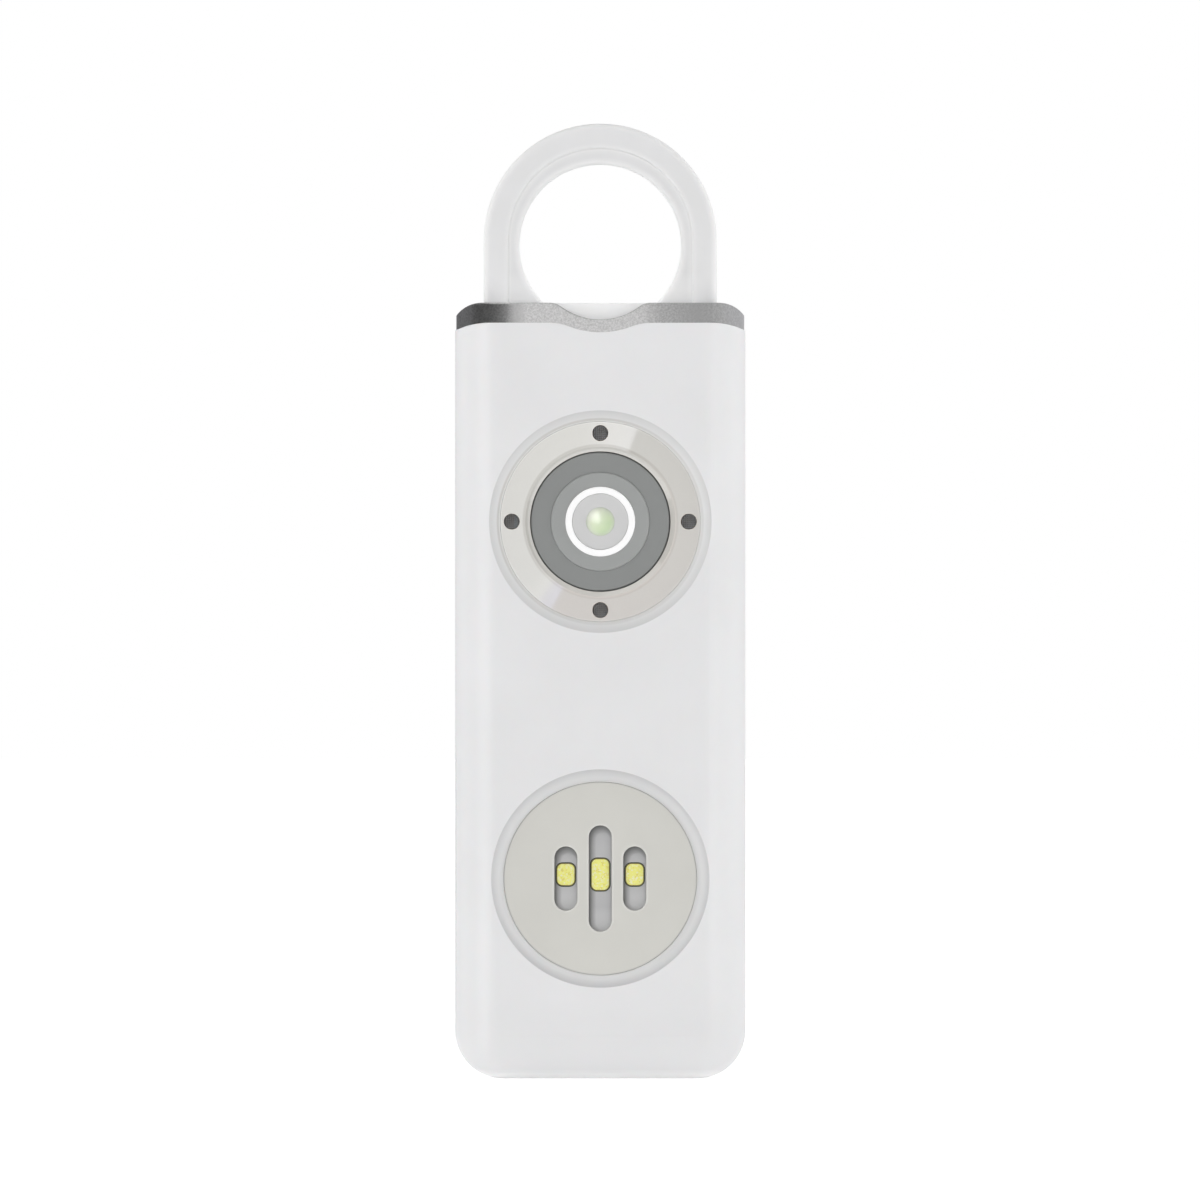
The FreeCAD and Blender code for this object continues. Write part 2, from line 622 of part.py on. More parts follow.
def detent_clip():
    """Bent spring strip behind the tongue, with a bump on each arm."""
    inner = TONGUE_WIDTH / 2 + CLIP_GAP + CLIP_BUMP_RADIUS
    outer = inner + CLIP_STRIP
    low, high = CLIP_Z - CLIP_HEIGHT / 2, CLIP_Z + CLIP_HEIGHT / 2
    back = TONGUE_BACK_Y + CLIP_GAP
    front = back - CLIP_REACH
    pieces = [box(-outer, outer, back, back + CLIP_STRIP, low, high)]
    for side in (-1, 1):
        pieces.append(box(min(side * inner, side * outer), max(side * inner, side * outer),
                          front, back + CLIP_STRIP, low, high))
        bump = rod(CLIP_BUMP_RADIUS, side * inner, CLIP_Z, front, TONGUE_Y)
        pieces.append(bump)
    return joined(pieces)


def trigger_switch():
    """Switch body behind the board, with the bore its plunger slides in."""
    body = box(-TRIGGER_WIDTH / 2, TRIGGER_WIDTH / 2, BOARD_BACK_Y, BOARD_BACK_Y + TRIGGER_DEPTH,
               TRIGGER_Z, TRIGGER_TOP_Z)
    bore = post(TRIGGER_PLUNGER_RADIUS + SLIDE_GAP, 0, TONGUE_Y,
                TRIGGER_TOP_Z - TRIGGER_STEM - SLIDE_GAP, TRIGGER_TOP_Z + BEYOND)
    return body.cut(bore)


def trigger_plunger():
    """Plunger that the tongue's tip holds down."""
    return post(TRIGGER_PLUNGER_RADIUS, 0, TONGUE_Y, TRIGGER_TOP_Z - TRIGGER_STEM, TIP_Z)


def sound_holes(y0, y1):
    """The ring of sound holes, as rods to cut with."""
    rods = []
    for count in range(SOUND_HOLES):
        x, z = corner((0, BUTTON_Z), SOUND_CIRCLE, 360 * count / SOUND_HOLES)
        rods.append(rod(SOUND_HOLE_RADIUS, x, z, y0, y1))
    return rods


def siren_bezel():
    """Glossy ring with a slightly conical face, a rim round the button and a flange behind."""
    edge_y = FRONT_Y + INSET_BEVEL_DEPTH
    rim_y = edge_y - BEZEL_RISE
    rim_radius = BORE_RADIUS + BEZEL_RIM_WIDTH
    bezel = turned((BORE_RADIUS, rim_y + BEZEL_RIM_DROP),
                   [(rim_radius, rim_y), (BEZEL_RADIUS, edge_y), (BEZEL_RADIUS, INNER_FRONT_Y),
                    (BEZEL_FLANGE_RADIUS, INNER_FRONT_Y), (BEZEL_FLANGE_RADIUS, BEZEL_BACK_Y),
                    (BORE_RADIUS, BEZEL_BACK_Y)], BUTTON_Z)
    return bezel.cut(sound_holes(FRONT_Y, BEZEL_BACK_Y + BEYOND))


def siren_mesh():
    """Dust mesh ring behind the sound holes."""
    return ring(BUTTON_FLANGE_RADIUS + BUTTON_GAP, BEZEL_FLANGE_RADIUS, BUTTON_Z,
                BEZEL_BACK_Y, BEZEL_BACK_Y + MESH_THICKNESS)


def button_cap():
    """Outer button with a pocket for its inlays, a light hole and a flange behind the bezel."""
    edge = BUTTON_EDGE_ROUND
    pocket = PAD_RADIUS + INLAY_GAP
    light = LIGHT_PIPE_RADIUS + INLAY_GAP
    return turned((light, INLAY_FLOOR_Y),
                  [(pocket, INLAY_FLOOR_Y), (pocket, BUTTON_FACE_Y),
                   (BUTTON_RADIUS - edge, BUTTON_FACE_Y),
                   (corner((BUTTON_RADIUS - edge, BUTTON_FACE_Y + edge), edge, -45),
                    (BUTTON_RADIUS, BUTTON_FACE_Y + edge)),
                   (BUTTON_RADIUS, BUTTON_FLANGE_Y), (BUTTON_FLANGE_RADIUS, BUTTON_FLANGE_Y),
                   (BUTTON_FLANGE_RADIUS, BUTTON_BACK_Y), (light, BUTTON_BACK_Y)], BUTTON_Z)


def inlay(inner, outer, face_y, edge):
    """A ring in the button's pocket, with its front outer edge eased."""
    return turned((inner, INLAY_FLOOR_Y),
                  [(outer, INLAY_FLOOR_Y), (outer, face_y + edge), (outer - edge, face_y),
                   (inner, face_y)], BUTTON_Z)


def button_lens():
    """Dome on the button with its light pipe."""
    bulge = (LENS_RADIUS ** 2 + LENS_RISE ** 2) / (2 * LENS_RISE)
    bend = math.asin(LENS_RADIUS / bulge) / 2
    dome = (bulge * math.sin(bend), INSERT_FACE_Y - LENS_RISE + bulge * (1 - math.cos(bend)))
    return turned((0, INSERT_FACE_Y - LENS_RISE),
                  [(dome, (LENS_RADIUS, INSERT_FACE_Y)),
                   (LIGHT_PIPE_RADIUS, INSERT_FACE_Y), (LIGHT_PIPE_RADIUS, BUTTON_BACK_Y),
                   (0, BUTTON_BACK_Y)], BUTTON_Z)


def switch_places():
    """X of the two switches behind the button."""
    return (-SWITCH_OFFSET, SWITCH_OFFSET)


def tact_switches():
    """Switch bodies on the board, each with a bore for its plunger."""
    half = SWITCH_SIDE / 2
    bodies = []
    for x in switch_places():
        body = box(x - half, x + half, SWITCH_FRONT_Y, BOARD_FRONT_Y, BUTTON_Z - half, BUTTON_Z + half)
        bore = rod(SWITCH_PLUNGER_RADIUS + SLIDE_GAP, x, BUTTON_Z, SWITCH_FRONT_Y - BEYOND,
                   SWITCH_FRONT_Y + SWITCH_STEM + SWITCH_STANDOFF)
        bodies.append(body.cut(bore))
    return Part.makeCompound(bodies)


def tact_plungers():
    """Plungers between the switches and the button."""
    return Part.makeCompound([rod(SWITCH_PLUNGER_RADIUS, x, BUTTON_Z, BUTTON_BACK_Y,
                                  SWITCH_FRONT_Y + SWITCH_STEM) for x in switch_places()])


def indicator_led():
    """Small lamp behind the button's light pipe."""
    return box(-INDICATOR_LENGTH / 2, INDICATOR_LENGTH / 2, BOARD_FRONT_Y - INDICATOR_HEIGHT,
               BOARD_FRONT_Y, BUTTON_Z - INDICATOR_WIDTH / 2, BUTTON_Z + INDICATOR_WIDTH / 2)


def lamp_columns():
    """X, slot length and lamp length of the three columns."""
    return [(-SLOT_PITCH, SIDE_SLOT_LENGTH, SIDE_LAMP_LENGTH),
            (0, MIDDLE_SLOT_LENGTH, MIDDLE_LAMP_LENGTH),
            (SLOT_PITCH, SIDE_SLOT_LENGTH, SIDE_LAMP_LENGTH)]


def lamp_cover():
    """Round cover with three slots and a flange behind the front wall."""
    face_y = FRONT_Y + LAMP_SINK
    disc = turned((0, face_y), [(LAMP_COVER_RADIUS, face_y), (LAMP_COVER_RADIUS, INNER_FRONT_Y),
                                (LAMP_FLANGE_RADIUS, INNER_FRONT_Y), (LAMP_FLANGE_RADIUS, LAMP_TRAY_Y),
                                (0, LAMP_TRAY_Y)], LAMP_Z)
    disc = disc.cut([stadium(SLOT_WIDTH, length, x, LAMP_Z, face_y - BEYOND, LAMP_TRAY_Y + BEYOND)
                     for x, length, lamp in lamp_columns()])
    return rounded(disc, SLOT_EDGE_ROUND,
                   lambda edge: abs(edge.BoundBox.YMax - face_y) < NEAR
                   and edge.BoundBox.YLength < NEAR and edge.BoundBox.XLength < LAMP_COVER_RADIUS)


def lamp_tray():
    """Floor of the slots, with a window round each lamp."""
    disc = rod(LAMP_COVER_RADIUS - LAMP_BOARD_MARGIN, 0, LAMP_Z, LAMP_TRAY_Y, LAMP_BOARD_Y)
    grow = 2 * LAMP_WINDOW_GAP
    windows = [tile(LAMP_WIDTH + grow, lamp + grow, LAMP_CORNER_RADIUS + LAMP_WINDOW_GAP, x,
                    LAMP_CENTRE_Z, LAMP_TRAY_Y - BEYOND, LAMP_BOARD_Y + BEYOND)
               for x, length, lamp in lamp_columns()]
    return disc.cut(windows)


def lamp_board():
    """Board that carries the three lamps, on the front of the main board."""
    return rod(LAMP_COVER_RADIUS - LAMP_BOARD_MARGIN, 0, LAMP_Z, LAMP_BOARD_Y, BOARD_FRONT_Y)


def lamp_face(lamp, x, y0, y1):
    """The yellow face's outline inside a lamp's rim."""
    return tile(LAMP_WIDTH - 2 * LAMP_RIM, lamp - 2 * LAMP_RIM, LAMP_CORNER_RADIUS - LAMP_RIM, x,
                LAMP_CENTRE_Z, y0, y1)


def lamp_led_packages():
    """Lamp housings, each with a shallow cup."""
    front = LAMP_TRAY_Y - LAMP_PROUD
    housings = []
    for x, length, lamp in lamp_columns():
        housing = tile(LAMP_WIDTH, lamp, LAMP_CORNER_RADIUS, x, LAMP_CENTRE_Z, front, LAMP_BOARD_Y)
        housings.append(housing.cut(lamp_face(lamp, x, front - BEYOND, front + PHOSPHOR_DEPTH)))
    return Part.makeCompound(housings)


def lamp_led_phosphors():
    """Yellow faces of the lamps."""
    front = LAMP_TRAY_Y - LAMP_PROUD
    faces = []
    for x, length, lamp in lamp_columns():
        face = lamp_face(lamp, x, front - PHOSPHOR_PROUD, front + PHOSPHOR_DEPTH)
        faces.append(face.makeChamfer(PHOSPHOR_PROUD / 2,
                                      [edge for edge in face.Edges
                                       if edge.BoundBox.YMax < front - PHOSPHOR_PROUD + NEAR]))
    return Part.makeCompound(faces)


def main_board():
    """Main board with its screw holes and sound holes."""
    low = WALL + BOARD_END_GAP
    high = ROOF_Z - BOARD_END_GAP
    board = tile(2 * BOARD_HALF_WIDTH, high - low, BOARD_CORNER_RADIUS, 0, (low + high) / 2,
                 BOARD_FRONT_Y, BOARD_BACK_Y)
    holes = [rod(SCREW_RADIUS + SCREW_GAP, x, z, BOARD_FRONT_Y - BEYOND, BOARD_BACK_Y + BEYOND)
             for x, z in SCREW_PLACES]
    return board.cut(holes + sound_holes(BOARD_FRONT_Y - BEYOND, BOARD_BACK_Y + BEYOND))


def driver_chip():
    """Eight-legged siren driver on the board's front."""
    half_width, half_length = CHIP_WIDTH / 2, CHIP_LENGTH / 2
    pieces = [box(CHIP_X - half_width, CHIP_X + half_width, BOARD_FRONT_Y - CHIP_HEIGHT, BOARD_FRONT_Y,
                  PARTS_Z - half_length, PARTS_Z + half_length)]
    for count in range(CHIP_LEADS):
        z = PARTS_Z + (count - (CHIP_LEADS - 1) / 2) * CHIP_LEAD_PITCH
        pieces.append(box(CHIP_X - half_width - CHIP_LEAD_LENGTH, CHIP_X + half_width + CHIP_LEAD_LENGTH,
                          BOARD_FRONT_Y - CHIP_LEAD_THICKNESS, BOARD_FRONT_Y,
                          z - CHIP_LEAD_WIDTH / 2, z + CHIP_LEAD_WIDTH / 2))
    return joined(pieces)


def coil_core():
    """Drum core of the step-up coil."""
    front = BOARD_FRONT_Y - COIL_HEIGHT
    return turned((0, front),
                  [(COIL_RADIUS, front), (COIL_RADIUS, front + COIL_FLANGE),
                   (COIL_CORE_RADIUS, front + COIL_FLANGE),
                   (COIL_CORE_RADIUS, BOARD_FRONT_Y - COIL_FLANGE),
                   (COIL_RADIUS, BOARD_FRONT_Y - COIL_FLANGE), (COIL_RADIUS, BOARD_FRONT_Y),
                   (0, BOARD_FRONT_Y)], PARTS_Z, COIL_X)


def coil_winding():
    """Wire wound between the core's flanges, as one ring."""
    front = BOARD_FRONT_Y - COIL_HEIGHT + COIL_FLANGE
    back = BOARD_FRONT_Y - COIL_FLANGE
    outer = rod(COIL_RADIUS - COIL_WINDING_GAP, COIL_X, PARTS_Z, front, back)
    return outer.cut(rod(COIL_CORE_RADIUS, COIL_X, PARTS_Z, front, back))


def block_row(x, count, pitch, length, width, height):
    """A column of equal small blocks on the board's front."""
    blocks = []
    for index in range(count):
        z = PARTS_Z + (index - (count - 1) / 2) * pitch
        blocks.append(box(x - length / 2, x + length / 2, BOARD_FRONT_Y - height, BOARD_FRONT_Y,
                          z - width / 2, z + width / 2))
    return Part.makeCompound(blocks)


def siren_chamber():
    """Wall round the sound space, with a seat for the sounder."""
    return turned((CHAMBER_RADIUS, BOARD_BACK_Y),
                  [(CHAMBER_OUTER_RADIUS, BOARD_BACK_Y), (CHAMBER_OUTER_RADIUS, SOUNDER_BACK_Y),
                   (SOUNDER_RADIUS + SOUNDER_GAP, SOUNDER_BACK_Y),
                   (SOUNDER_RADIUS + SOUNDER_GAP, SOUNDER_Y), (CHAMBER_RADIUS, SOUNDER_Y)], BUTTON_Z)


def leaf_contact(x, tip_y):
    """Bent strip from the board back to a pad at tip_y."""
    strip = CONTACT_STRIP
    steps = [(x + CONTACT_FOOT, BOARD_BACK_Y), (x + CONTACT_FOOT, BOARD_BACK_Y + strip),
             (x + strip, BOARD_BACK_Y + strip), (x + strip, tip_y - strip),
             (x + CONTACT_FOOT, tip_y - strip), (x + CONTACT_FOOT, tip_y), (x, tip_y)]
    low = BUTTON_Z - CONTACT_WIDTH / 2
    face = traced((x, BOARD_BACK_Y), steps, lambda p: Vector(p[0], p[1], low))
    return face.extrude(Vector(0, 0, CONTACT_WIDTH))


def piezo_contacts():
    """Two leaf contacts, one to the disc and one to its ceramic."""
    return Part.makeCompound([leaf_contact(-DISC_CONTACT_RADIUS - CONTACT_FOOT / 2, SOUNDER_Y),
                              leaf_contact(CERAMIC_CONTACT_RADIUS, SOUNDER_Y - CERAMIC_THICKNESS)])


def coin_cell(front):
    """One coin cell with its smaller negative face to the front."""
    face = CELL_RADIUS - CELL_CAN_WALL
    back = front + CELL_THICKNESS
    return turned((0, front), [(face, front), (face + CELL_EDGE, front + CELL_STEP),
                               (CELL_RADIUS - CELL_EDGE, front + CELL_STEP),
                               (CELL_RADIUS, front + CELL_STEP + CELL_EDGE),
                               (CELL_RADIUS, back - CELL_EDGE), (CELL_RADIUS - CELL_EDGE, back),
                               (0, back)], CELL_Z)


def coin_cells():
    """The stacked cells."""
    return Part.makeCompound([coin_cell(CELL_Y + count * CELL_THICKNESS) for count in range(CELLS)])


def leaf_slot(gap):
    """The side contact's strip, wider by gap, through the tray's wall."""
    x = POCKET_RADIUS + TRAY_WALL / 2
    half = LEAF_THICKNESS / 2 + gap
    return box(x - half, x + half, BOARD_BACK_Y, INNER_BACK_Y,
               CELL_Z - LEAF_WIDTH / 2 - gap, CELL_Z + LEAF_WIDTH / 2 + gap)


def side_leaf_bump(gap):
    """The side contact's reach to the rim of the last cell."""
    x = POCKET_RADIUS + TRAY_WALL / 2
    y = INNER_BACK_Y - CELL_END_GAP - CELL_THICKNESS / 2
    half = SIDE_LEAF_REACH / 2 + gap
    return box(CELL_RADIUS + CELL_END_GAP, x, y - half, y + half, CELL_Z - half, CELL_Z + half)


def tab_room(gap):
    """The battery cover's tab inside the rear wall, wider by gap."""
    half = COVER_TAB_WIDTH / 2 + gap
    return box(-half, half, INNER_BACK_Y, COVER_SEAT_Y, CELL_Z, COVER_TOP_Z + COVER_TAB_LENGTH + gap)


def foot_slot(gap):
    """The negative contact's foot through the tray's floor, wider by gap."""
    half = LEAF_WIDTH / 2 + gap
    z = CELL_Z - LEAF_LENGTH / 2
    return box(-half, half, BOARD_BACK_Y, TRAY_FLOOR_Y, z - gap, z + LEAF_THICKNESS + gap)


def battery_tray():
    """Round tray for the cells with the cover screw's boss."""
    tray = rod(TRAY_RADIUS, 0, CELL_Z, BOARD_BACK_Y, INNER_BACK_Y)
    pocket = rod(POCKET_RADIUS, 0, CELL_Z, TRAY_FLOOR_Y, INNER_BACK_Y + BEYOND)
    tray = tray.cut(pocket)
    boss = rod(COVER_BOSS_RADIUS, 0, COVER_SCREW_Z, BOARD_BACK_Y, INNER_BACK_Y)
    web = box(-COVER_BOSS_RADIUS, COVER_BOSS_RADIUS, BOARD_BACK_Y, INNER_BACK_Y,
              COVER_SCREW_Z, CELL_Z - POCKET_RADIUS - TRAY_WALL / 4)
    tray = joined([tray, boss, web.cut(pocket)])
    pilot = rod(SCREW_RADIUS + SCREW_GAP, 0, COVER_SCREW_Z, INNER_BACK_Y - COVER_SCREW_LENGTH,
                INNER_BACK_Y + BEYOND)
    return tray.cut([pilot, leaf_slot(LEAF_SLOT_GAP), side_leaf_bump(LEAF_SLOT_GAP),
                     foot_slot(LEAF_SLOT_GAP)])


def negative_contact():
    """Leaf under the first cell with a foot to the board."""
    leaf = box(-LEAF_WIDTH / 2, LEAF_WIDTH / 2, TRAY_FLOOR_Y, CELL_Y,
               CELL_Z - LEAF_LENGTH / 2, CELL_Z + LEAF_LENGTH / 2)
    return joined([leaf, foot_slot(0)])


def positive_contact():
    """Strip beside the cells that touches the last cell's rim."""
    return joined([leaf_slot(0), side_leaf_bump(0)])


def screw(x, z, head_radius, head_height, head_y, tip_y):
    """A cross-head screw from behind, pointing to the front."""
    head = rod(head_radius, x, z, head_y, head_y + head_height)
    head = rounded(head, head_height / 3,
                   lambda edge: edge.BoundBox.YMin > head_y + head_height - NEAR
                   and edge.BoundBox.XLength > head_radius)
    shank = rod(SCREW_RADIUS, x, z, tip_y, head_y)
    reach = head_radius * CROSS_SHARE
    half = CROSS_WIDTH / 2
    deep = head_y + head_height / 2
    bars = [box(x - reach, x + reach, deep, head_y + head_height, z - half, z + half),
            box(x - half, x + half, deep, head_y + head_height, z - reach, z + reach)]
    return joined([head, shank]).cut(bars)


def case_screws():
    """The four screws that close the case."""
    tip = BOARD_FRONT_Y - PILOT_DEPTH + SCREW_GAP
    return Part.makeCompound([screw(x, z, HEAD_RADIUS, HEAD_HEIGHT, SCREW_HEAD_Y, tip)
                              for x, z in SCREW_PLACES])


def battery_cover():
    """Cover plate on the back, with a round pad, a tab and a screw boss."""
    plate = case_form(0, CASE_HEIGHT).common(cover_plate(0, COVER_SEAT_Y))
    pad = rod(POCKET_RADIUS - COVER_GAP, 0, CELL_Z, INNER_BACK_Y, COVER_SEAT_Y)
    boss = rod(COVER_BOSS_RADIUS, 0, COVER_SCREW_Z, INNER_BACK_Y, COVER_SEAT_Y)
    cover = joined([plate, pad, boss, tab_room(0)])
    hole = rod(SCREW_RADIUS + SCREW_GAP, 0, COVER_SCREW_Z, INNER_BACK_Y - BEYOND, BACK_Y)
    seat = rod(COVER_HEAD_RADIUS + HEAD_GAP, 0, COVER_SCREW_Z,
               BACK_Y - HEAD_SINK - COVER_HEAD_HEIGHT, BACK_Y + BEYOND)
    return cover.cut([hole, seat])


def battery_cover_screw():
    """The battery cover's screw."""
    return screw(0, COVER_SCREW_Z, COVER_HEAD_RADIUS, COVER_HEAD_HEIGHT,
                 BACK_Y - HEAD_SINK - COVER_HEAD_HEIGHT, INNER_BACK_Y - COVER_SCREW_LENGTH + SCREW_GAP)


def save(name, shape):
    """Write one sub-part, after a look at its solids."""
    for solid in shape.Solids:
        if not solid.isValid() or not solid.isClosed():
            raise ValueError(name + " isn't a valid closed solid")
    shape.exportStep("parts/" + name + ".step")
    print(name, len(shape.Solids), "solids,", round(shape.Volume, 2), "mm3")


save("front_shell", front_shell())
save("rear_shell", rear_shell())
save("top_cap", top_cap())
save("pull_ring", pull_ring())
save("detent_clip", detent_clip())
save("trigger_switch", trigger_switch())
save("trigger_plunger", trigger_plunger())
save("siren_bezel", siren_bezel())
save("siren_mesh", siren_mesh())
save("button_cap", button_cap())
save("button_pad", inlay(WHITE_RING_RADIUS + INLAY_GAP, PAD_RADIUS, PAD_FACE_Y, BUTTON_EDGE_ROUND))
save("button_white_ring", inlay(INSERT_RADIUS + INLAY_GAP, WHITE_RING_RADIUS, WHITE_RING_FACE_Y,
                                WHITE_RING_RISE / 2))
save("button_insert", inlay(LIGHT_PIPE_RADIUS + INLAY_GAP, INSERT_RADIUS, INSERT_FACE_Y, INSERT_SINK / 2))
save("button_lens", button_lens())
save("tact_switches", tact_switches())
save("tact_plungers", tact_plungers())
save("indicator_led", indicator_led())
save("lamp_cover", lamp_cover())
save("lamp_tray", lamp_tray())
save("lamp_board", lamp_board())
save("lamp_led_packages", lamp_led_packages())
save("lamp_led_phosphors", lamp_led_phosphors())
save("main_board", main_board())
save("driver_chip", driver_chip())
save("coil_core", coil_core())
save("coil_winding", coil_winding())
save("transistors", block_row(TRANSISTOR_X, TRANSISTORS, TRANSISTOR_PITCH, TRANSISTOR_LENGTH,
                              TRANSISTOR_WIDTH, TRANSISTOR_HEIGHT))
save("chip_capacitors", block_row(CAPACITOR_X, CAPACITORS, CAPACITOR_PITCH, CAPACITOR_LENGTH,
                                  CAPACITOR_WIDTH, CAPACITOR_HEIGHT))
save("siren_chamber", siren_chamber())
save("piezo_disc", rod(SOUNDER_RADIUS, 0, BUTTON_Z, SOUNDER_Y, SOUNDER_BACK_Y))
save("piezo_ceramic", rod(CERAMIC_RADIUS, 0, BUTTON_Z, SOUNDER_Y - CERAMIC_THICKNESS, SOUNDER_Y))
save("piezo_contacts", piezo_contacts())
save("foam_ring", ring(SOUNDER_RADIUS - FOAM_WIDTH, SOUNDER_RADIUS, BUTTON_Z, SOUNDER_BACK_Y, INNER_BACK_Y))
save("coin_cells", coin_cells())
save("battery_tray", battery_tray())
save("negative_contact", negative_contact())
save("positive_contact", positive_contact())
save("battery_cover", battery_cover())
save("battery_cover_screw", battery_cover_screw())
save("case_screws", case_screws())
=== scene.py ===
import math

import bmesh
import bpy
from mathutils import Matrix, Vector


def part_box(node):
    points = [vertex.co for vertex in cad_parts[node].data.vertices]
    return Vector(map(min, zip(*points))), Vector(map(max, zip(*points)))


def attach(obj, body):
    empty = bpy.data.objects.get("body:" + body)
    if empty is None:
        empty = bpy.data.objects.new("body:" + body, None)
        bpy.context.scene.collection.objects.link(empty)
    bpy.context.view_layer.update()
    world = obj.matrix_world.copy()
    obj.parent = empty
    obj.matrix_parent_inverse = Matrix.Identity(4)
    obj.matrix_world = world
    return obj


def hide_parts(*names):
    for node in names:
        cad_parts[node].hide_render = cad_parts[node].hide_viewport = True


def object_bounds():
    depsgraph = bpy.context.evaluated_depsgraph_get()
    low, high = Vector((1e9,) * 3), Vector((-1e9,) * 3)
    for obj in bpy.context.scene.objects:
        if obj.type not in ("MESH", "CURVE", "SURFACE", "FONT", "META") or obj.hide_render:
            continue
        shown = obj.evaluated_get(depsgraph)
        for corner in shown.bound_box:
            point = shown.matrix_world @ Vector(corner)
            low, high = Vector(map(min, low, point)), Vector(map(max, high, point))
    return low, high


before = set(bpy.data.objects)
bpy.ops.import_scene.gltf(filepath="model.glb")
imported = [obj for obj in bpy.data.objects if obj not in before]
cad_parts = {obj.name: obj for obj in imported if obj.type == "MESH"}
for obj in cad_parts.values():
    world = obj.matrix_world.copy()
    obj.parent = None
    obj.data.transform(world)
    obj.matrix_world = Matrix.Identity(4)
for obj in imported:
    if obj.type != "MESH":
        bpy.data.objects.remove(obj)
cad_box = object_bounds()

MM = 0.001
FRONT_Y = cad_box[0].y
BEZEL_LOW, BEZEL_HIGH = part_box("siren_bezel")
LAMP_LOW, LAMP_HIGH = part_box("lamp_cover")
BEZEL_Z = (BEZEL_LOW.z + BEZEL_HIGH.z) / 2
LAMP_Z = (LAMP_LOW.z + LAMP_HIGH.z) / 2
RING_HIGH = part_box("pull_ring")[1]
RING_Z = RING_HIGH.z - RING_HIGH.x

# Edges in a finish: the rays that look for them, and the likeness of the plain and the rounded surface
# direction at which an edge begins and at which it is full
BEVEL_SAMPLES = 6
EDGE_NONE = 0.99
EDGE_FULL = 0.8

# Insets in the case's front
BEZEL_RADIUS = 10.5 * MM
BEVEL_WIDTH = 1.16 * MM
LAMP_RADIUS = 10.15 * MM
COVE_WIDTH = 1.3 * MM

# Slots of the lamp cover: place across, and half the length between the centres of the round ends
SLOT_RADIUS = 1.2 * MM
SLOTS = [(-3.6 * MM, 2.15 * MM), (0.0, 4.35 * MM), (3.6 * MM, 2.15 * MM)]

# Siren bezel's inner rim, round the button, and the button's dome
BEZEL_INNER_RADIUS = 7.9 * MM
DOME_RADIUS = 1.5 * MM

# Cap: where its flat front bows back to its ends. Each band of painted shade begins at its first place
# across, is full from its second to its third, and ends at its fourth.
CAP_BOW_LEFT_X = -9.6 * MM
CAP_BOW_RIGHT_X = 5.5 * MM
CAP_PAINTED_SHADE_LEFT = (-9.7 * MM, -8.8 * MM, -8.5 * MM, -7.6 * MM)
CAP_PAINTED_SHADE_RIGHT = (7 * MM, 10 * MM, 10.5 * MM, 12.5 * MM)

# Pull ring: its edge, the step between its rim and its panel, its hole, and its foot above the cap
RING_EDGE_RADIUS = 12.2 * MM
RING_STEP_RADIUS = 9.6 * MM
RING_HOLE_RADIUS = 8.47 * MM
RING_HOLE_DROP = 0.55 * MM
RING_FOOT_Z = 81 * MM
RING_FOOT_HEIGHT = 3.5 * MM

# Dust mesh behind the sound holes
MESH_INNER_RADIUS = 8.3 * MM
WIRE_PITCH = 0.2 * MM
WIRE_RADIUS = 0.046 * MM
WIRE_SWAY = 0.004 * MM
WIRE_SIDES = 6

# A wire's last bend stays this share of the pitch away from the mesh's edge
END_SHARE = 0.3

# Where the two shells meet, and half the width of the line that shows there
PARTING_Y = 0.0
PARTING_WIDTH = 0.03 * MM

# Photo frame: the width that it covers at the case's front, and its middle
FRAME_WIDTH = 125.5 * MM
FRAME_MIDDLE_X = -0.03 * MM
FRAME_MIDDLE_Z = 50.1 * MM
CAMERA_DISTANCE = 3.0
SENSOR_WIDTH = 36.0

# Floor and world: light that they give, and how bright the floor looks near and far from its middle
FLOOR_SIZE = 12.0
FLOOR_COLOUR = "F2F2F2"
FLOOR_LIGHT = 0.3
NEAR_GLOW, NEAR_REACH = 0.5, 0.3
FAR_GLOW, FAR_REACH = 0.85, 1.5
WORLD_LIGHT = 0.3

# Strip lamp in front of the pull ring's foot
FOOT_LIGHT_REACH = 4.2 * MM
FOOT_LIGHT_Z = 81.2 * MM
FOOT_LIGHT_WIDTH = 36 * MM
FOOT_LIGHT_HEIGHT = 1 * MM
FOOT_LIGHT_WATTS = 0.00028

# Cards, and lamps that only reflections see: their sizes, and how far they stand from the object's middle
CARD_DISTANCE = 0.22
EDGE_GLINT_DISTANCE = 0.26
EDGE_GLINT_WIDTH = 0.07
EDGE_GLINT_HEIGHT = 0.36
DOME_GLINT_DISTANCE = 0.5
DOME_GLINT_WIDTH = 0.3

# Round card in front of the siren, whose light changes with the angle about the siren's axis.
# Each level is a share of a full turn and the light there in red, green and blue.
SPUN_CARD_DISTANCE = 0.33
SPUN_CARD_INNER, SPUN_CARD_OUTER = 0.042, 0.0575
SPUN_CARD_PARTS = 96
SPUN_LEVELS = [(0.0, (1.7, 1.68, 1.68)), (0.11, (1.78, 1.78, 1.82)), (0.138, (2.35, 2.35, 2.35)),
               (0.146, (1.65, 1.62, 2.1)), (0.1665, (1.75, 1.68, 2.5)), (0.1685, (0.78, 0.52, 0.56)),
               (0.69, (0.7, 0.66, 0.62)), (0.692, (2.75, 2.73, 2.85)), (0.72, (2.7, 2.66, 2.7)),
               (0.79, (1.95, 1.93, 1.88)), (1.0, (1.7, 1.68, 1.68))]
SPUN_PEAK = 3.0


def srgb(code):
    """The linear colour of a six-digit hexadecimal code."""
    levels = []
    for start in (0, 2, 4):
        level = int(code[start:start + 2], 16) / 255
        levels.append(level / 12.92 if level <= 0.04045 else ((level + 0.055) / 1.055) ** 2.4)
    return (*levels, 1.0)


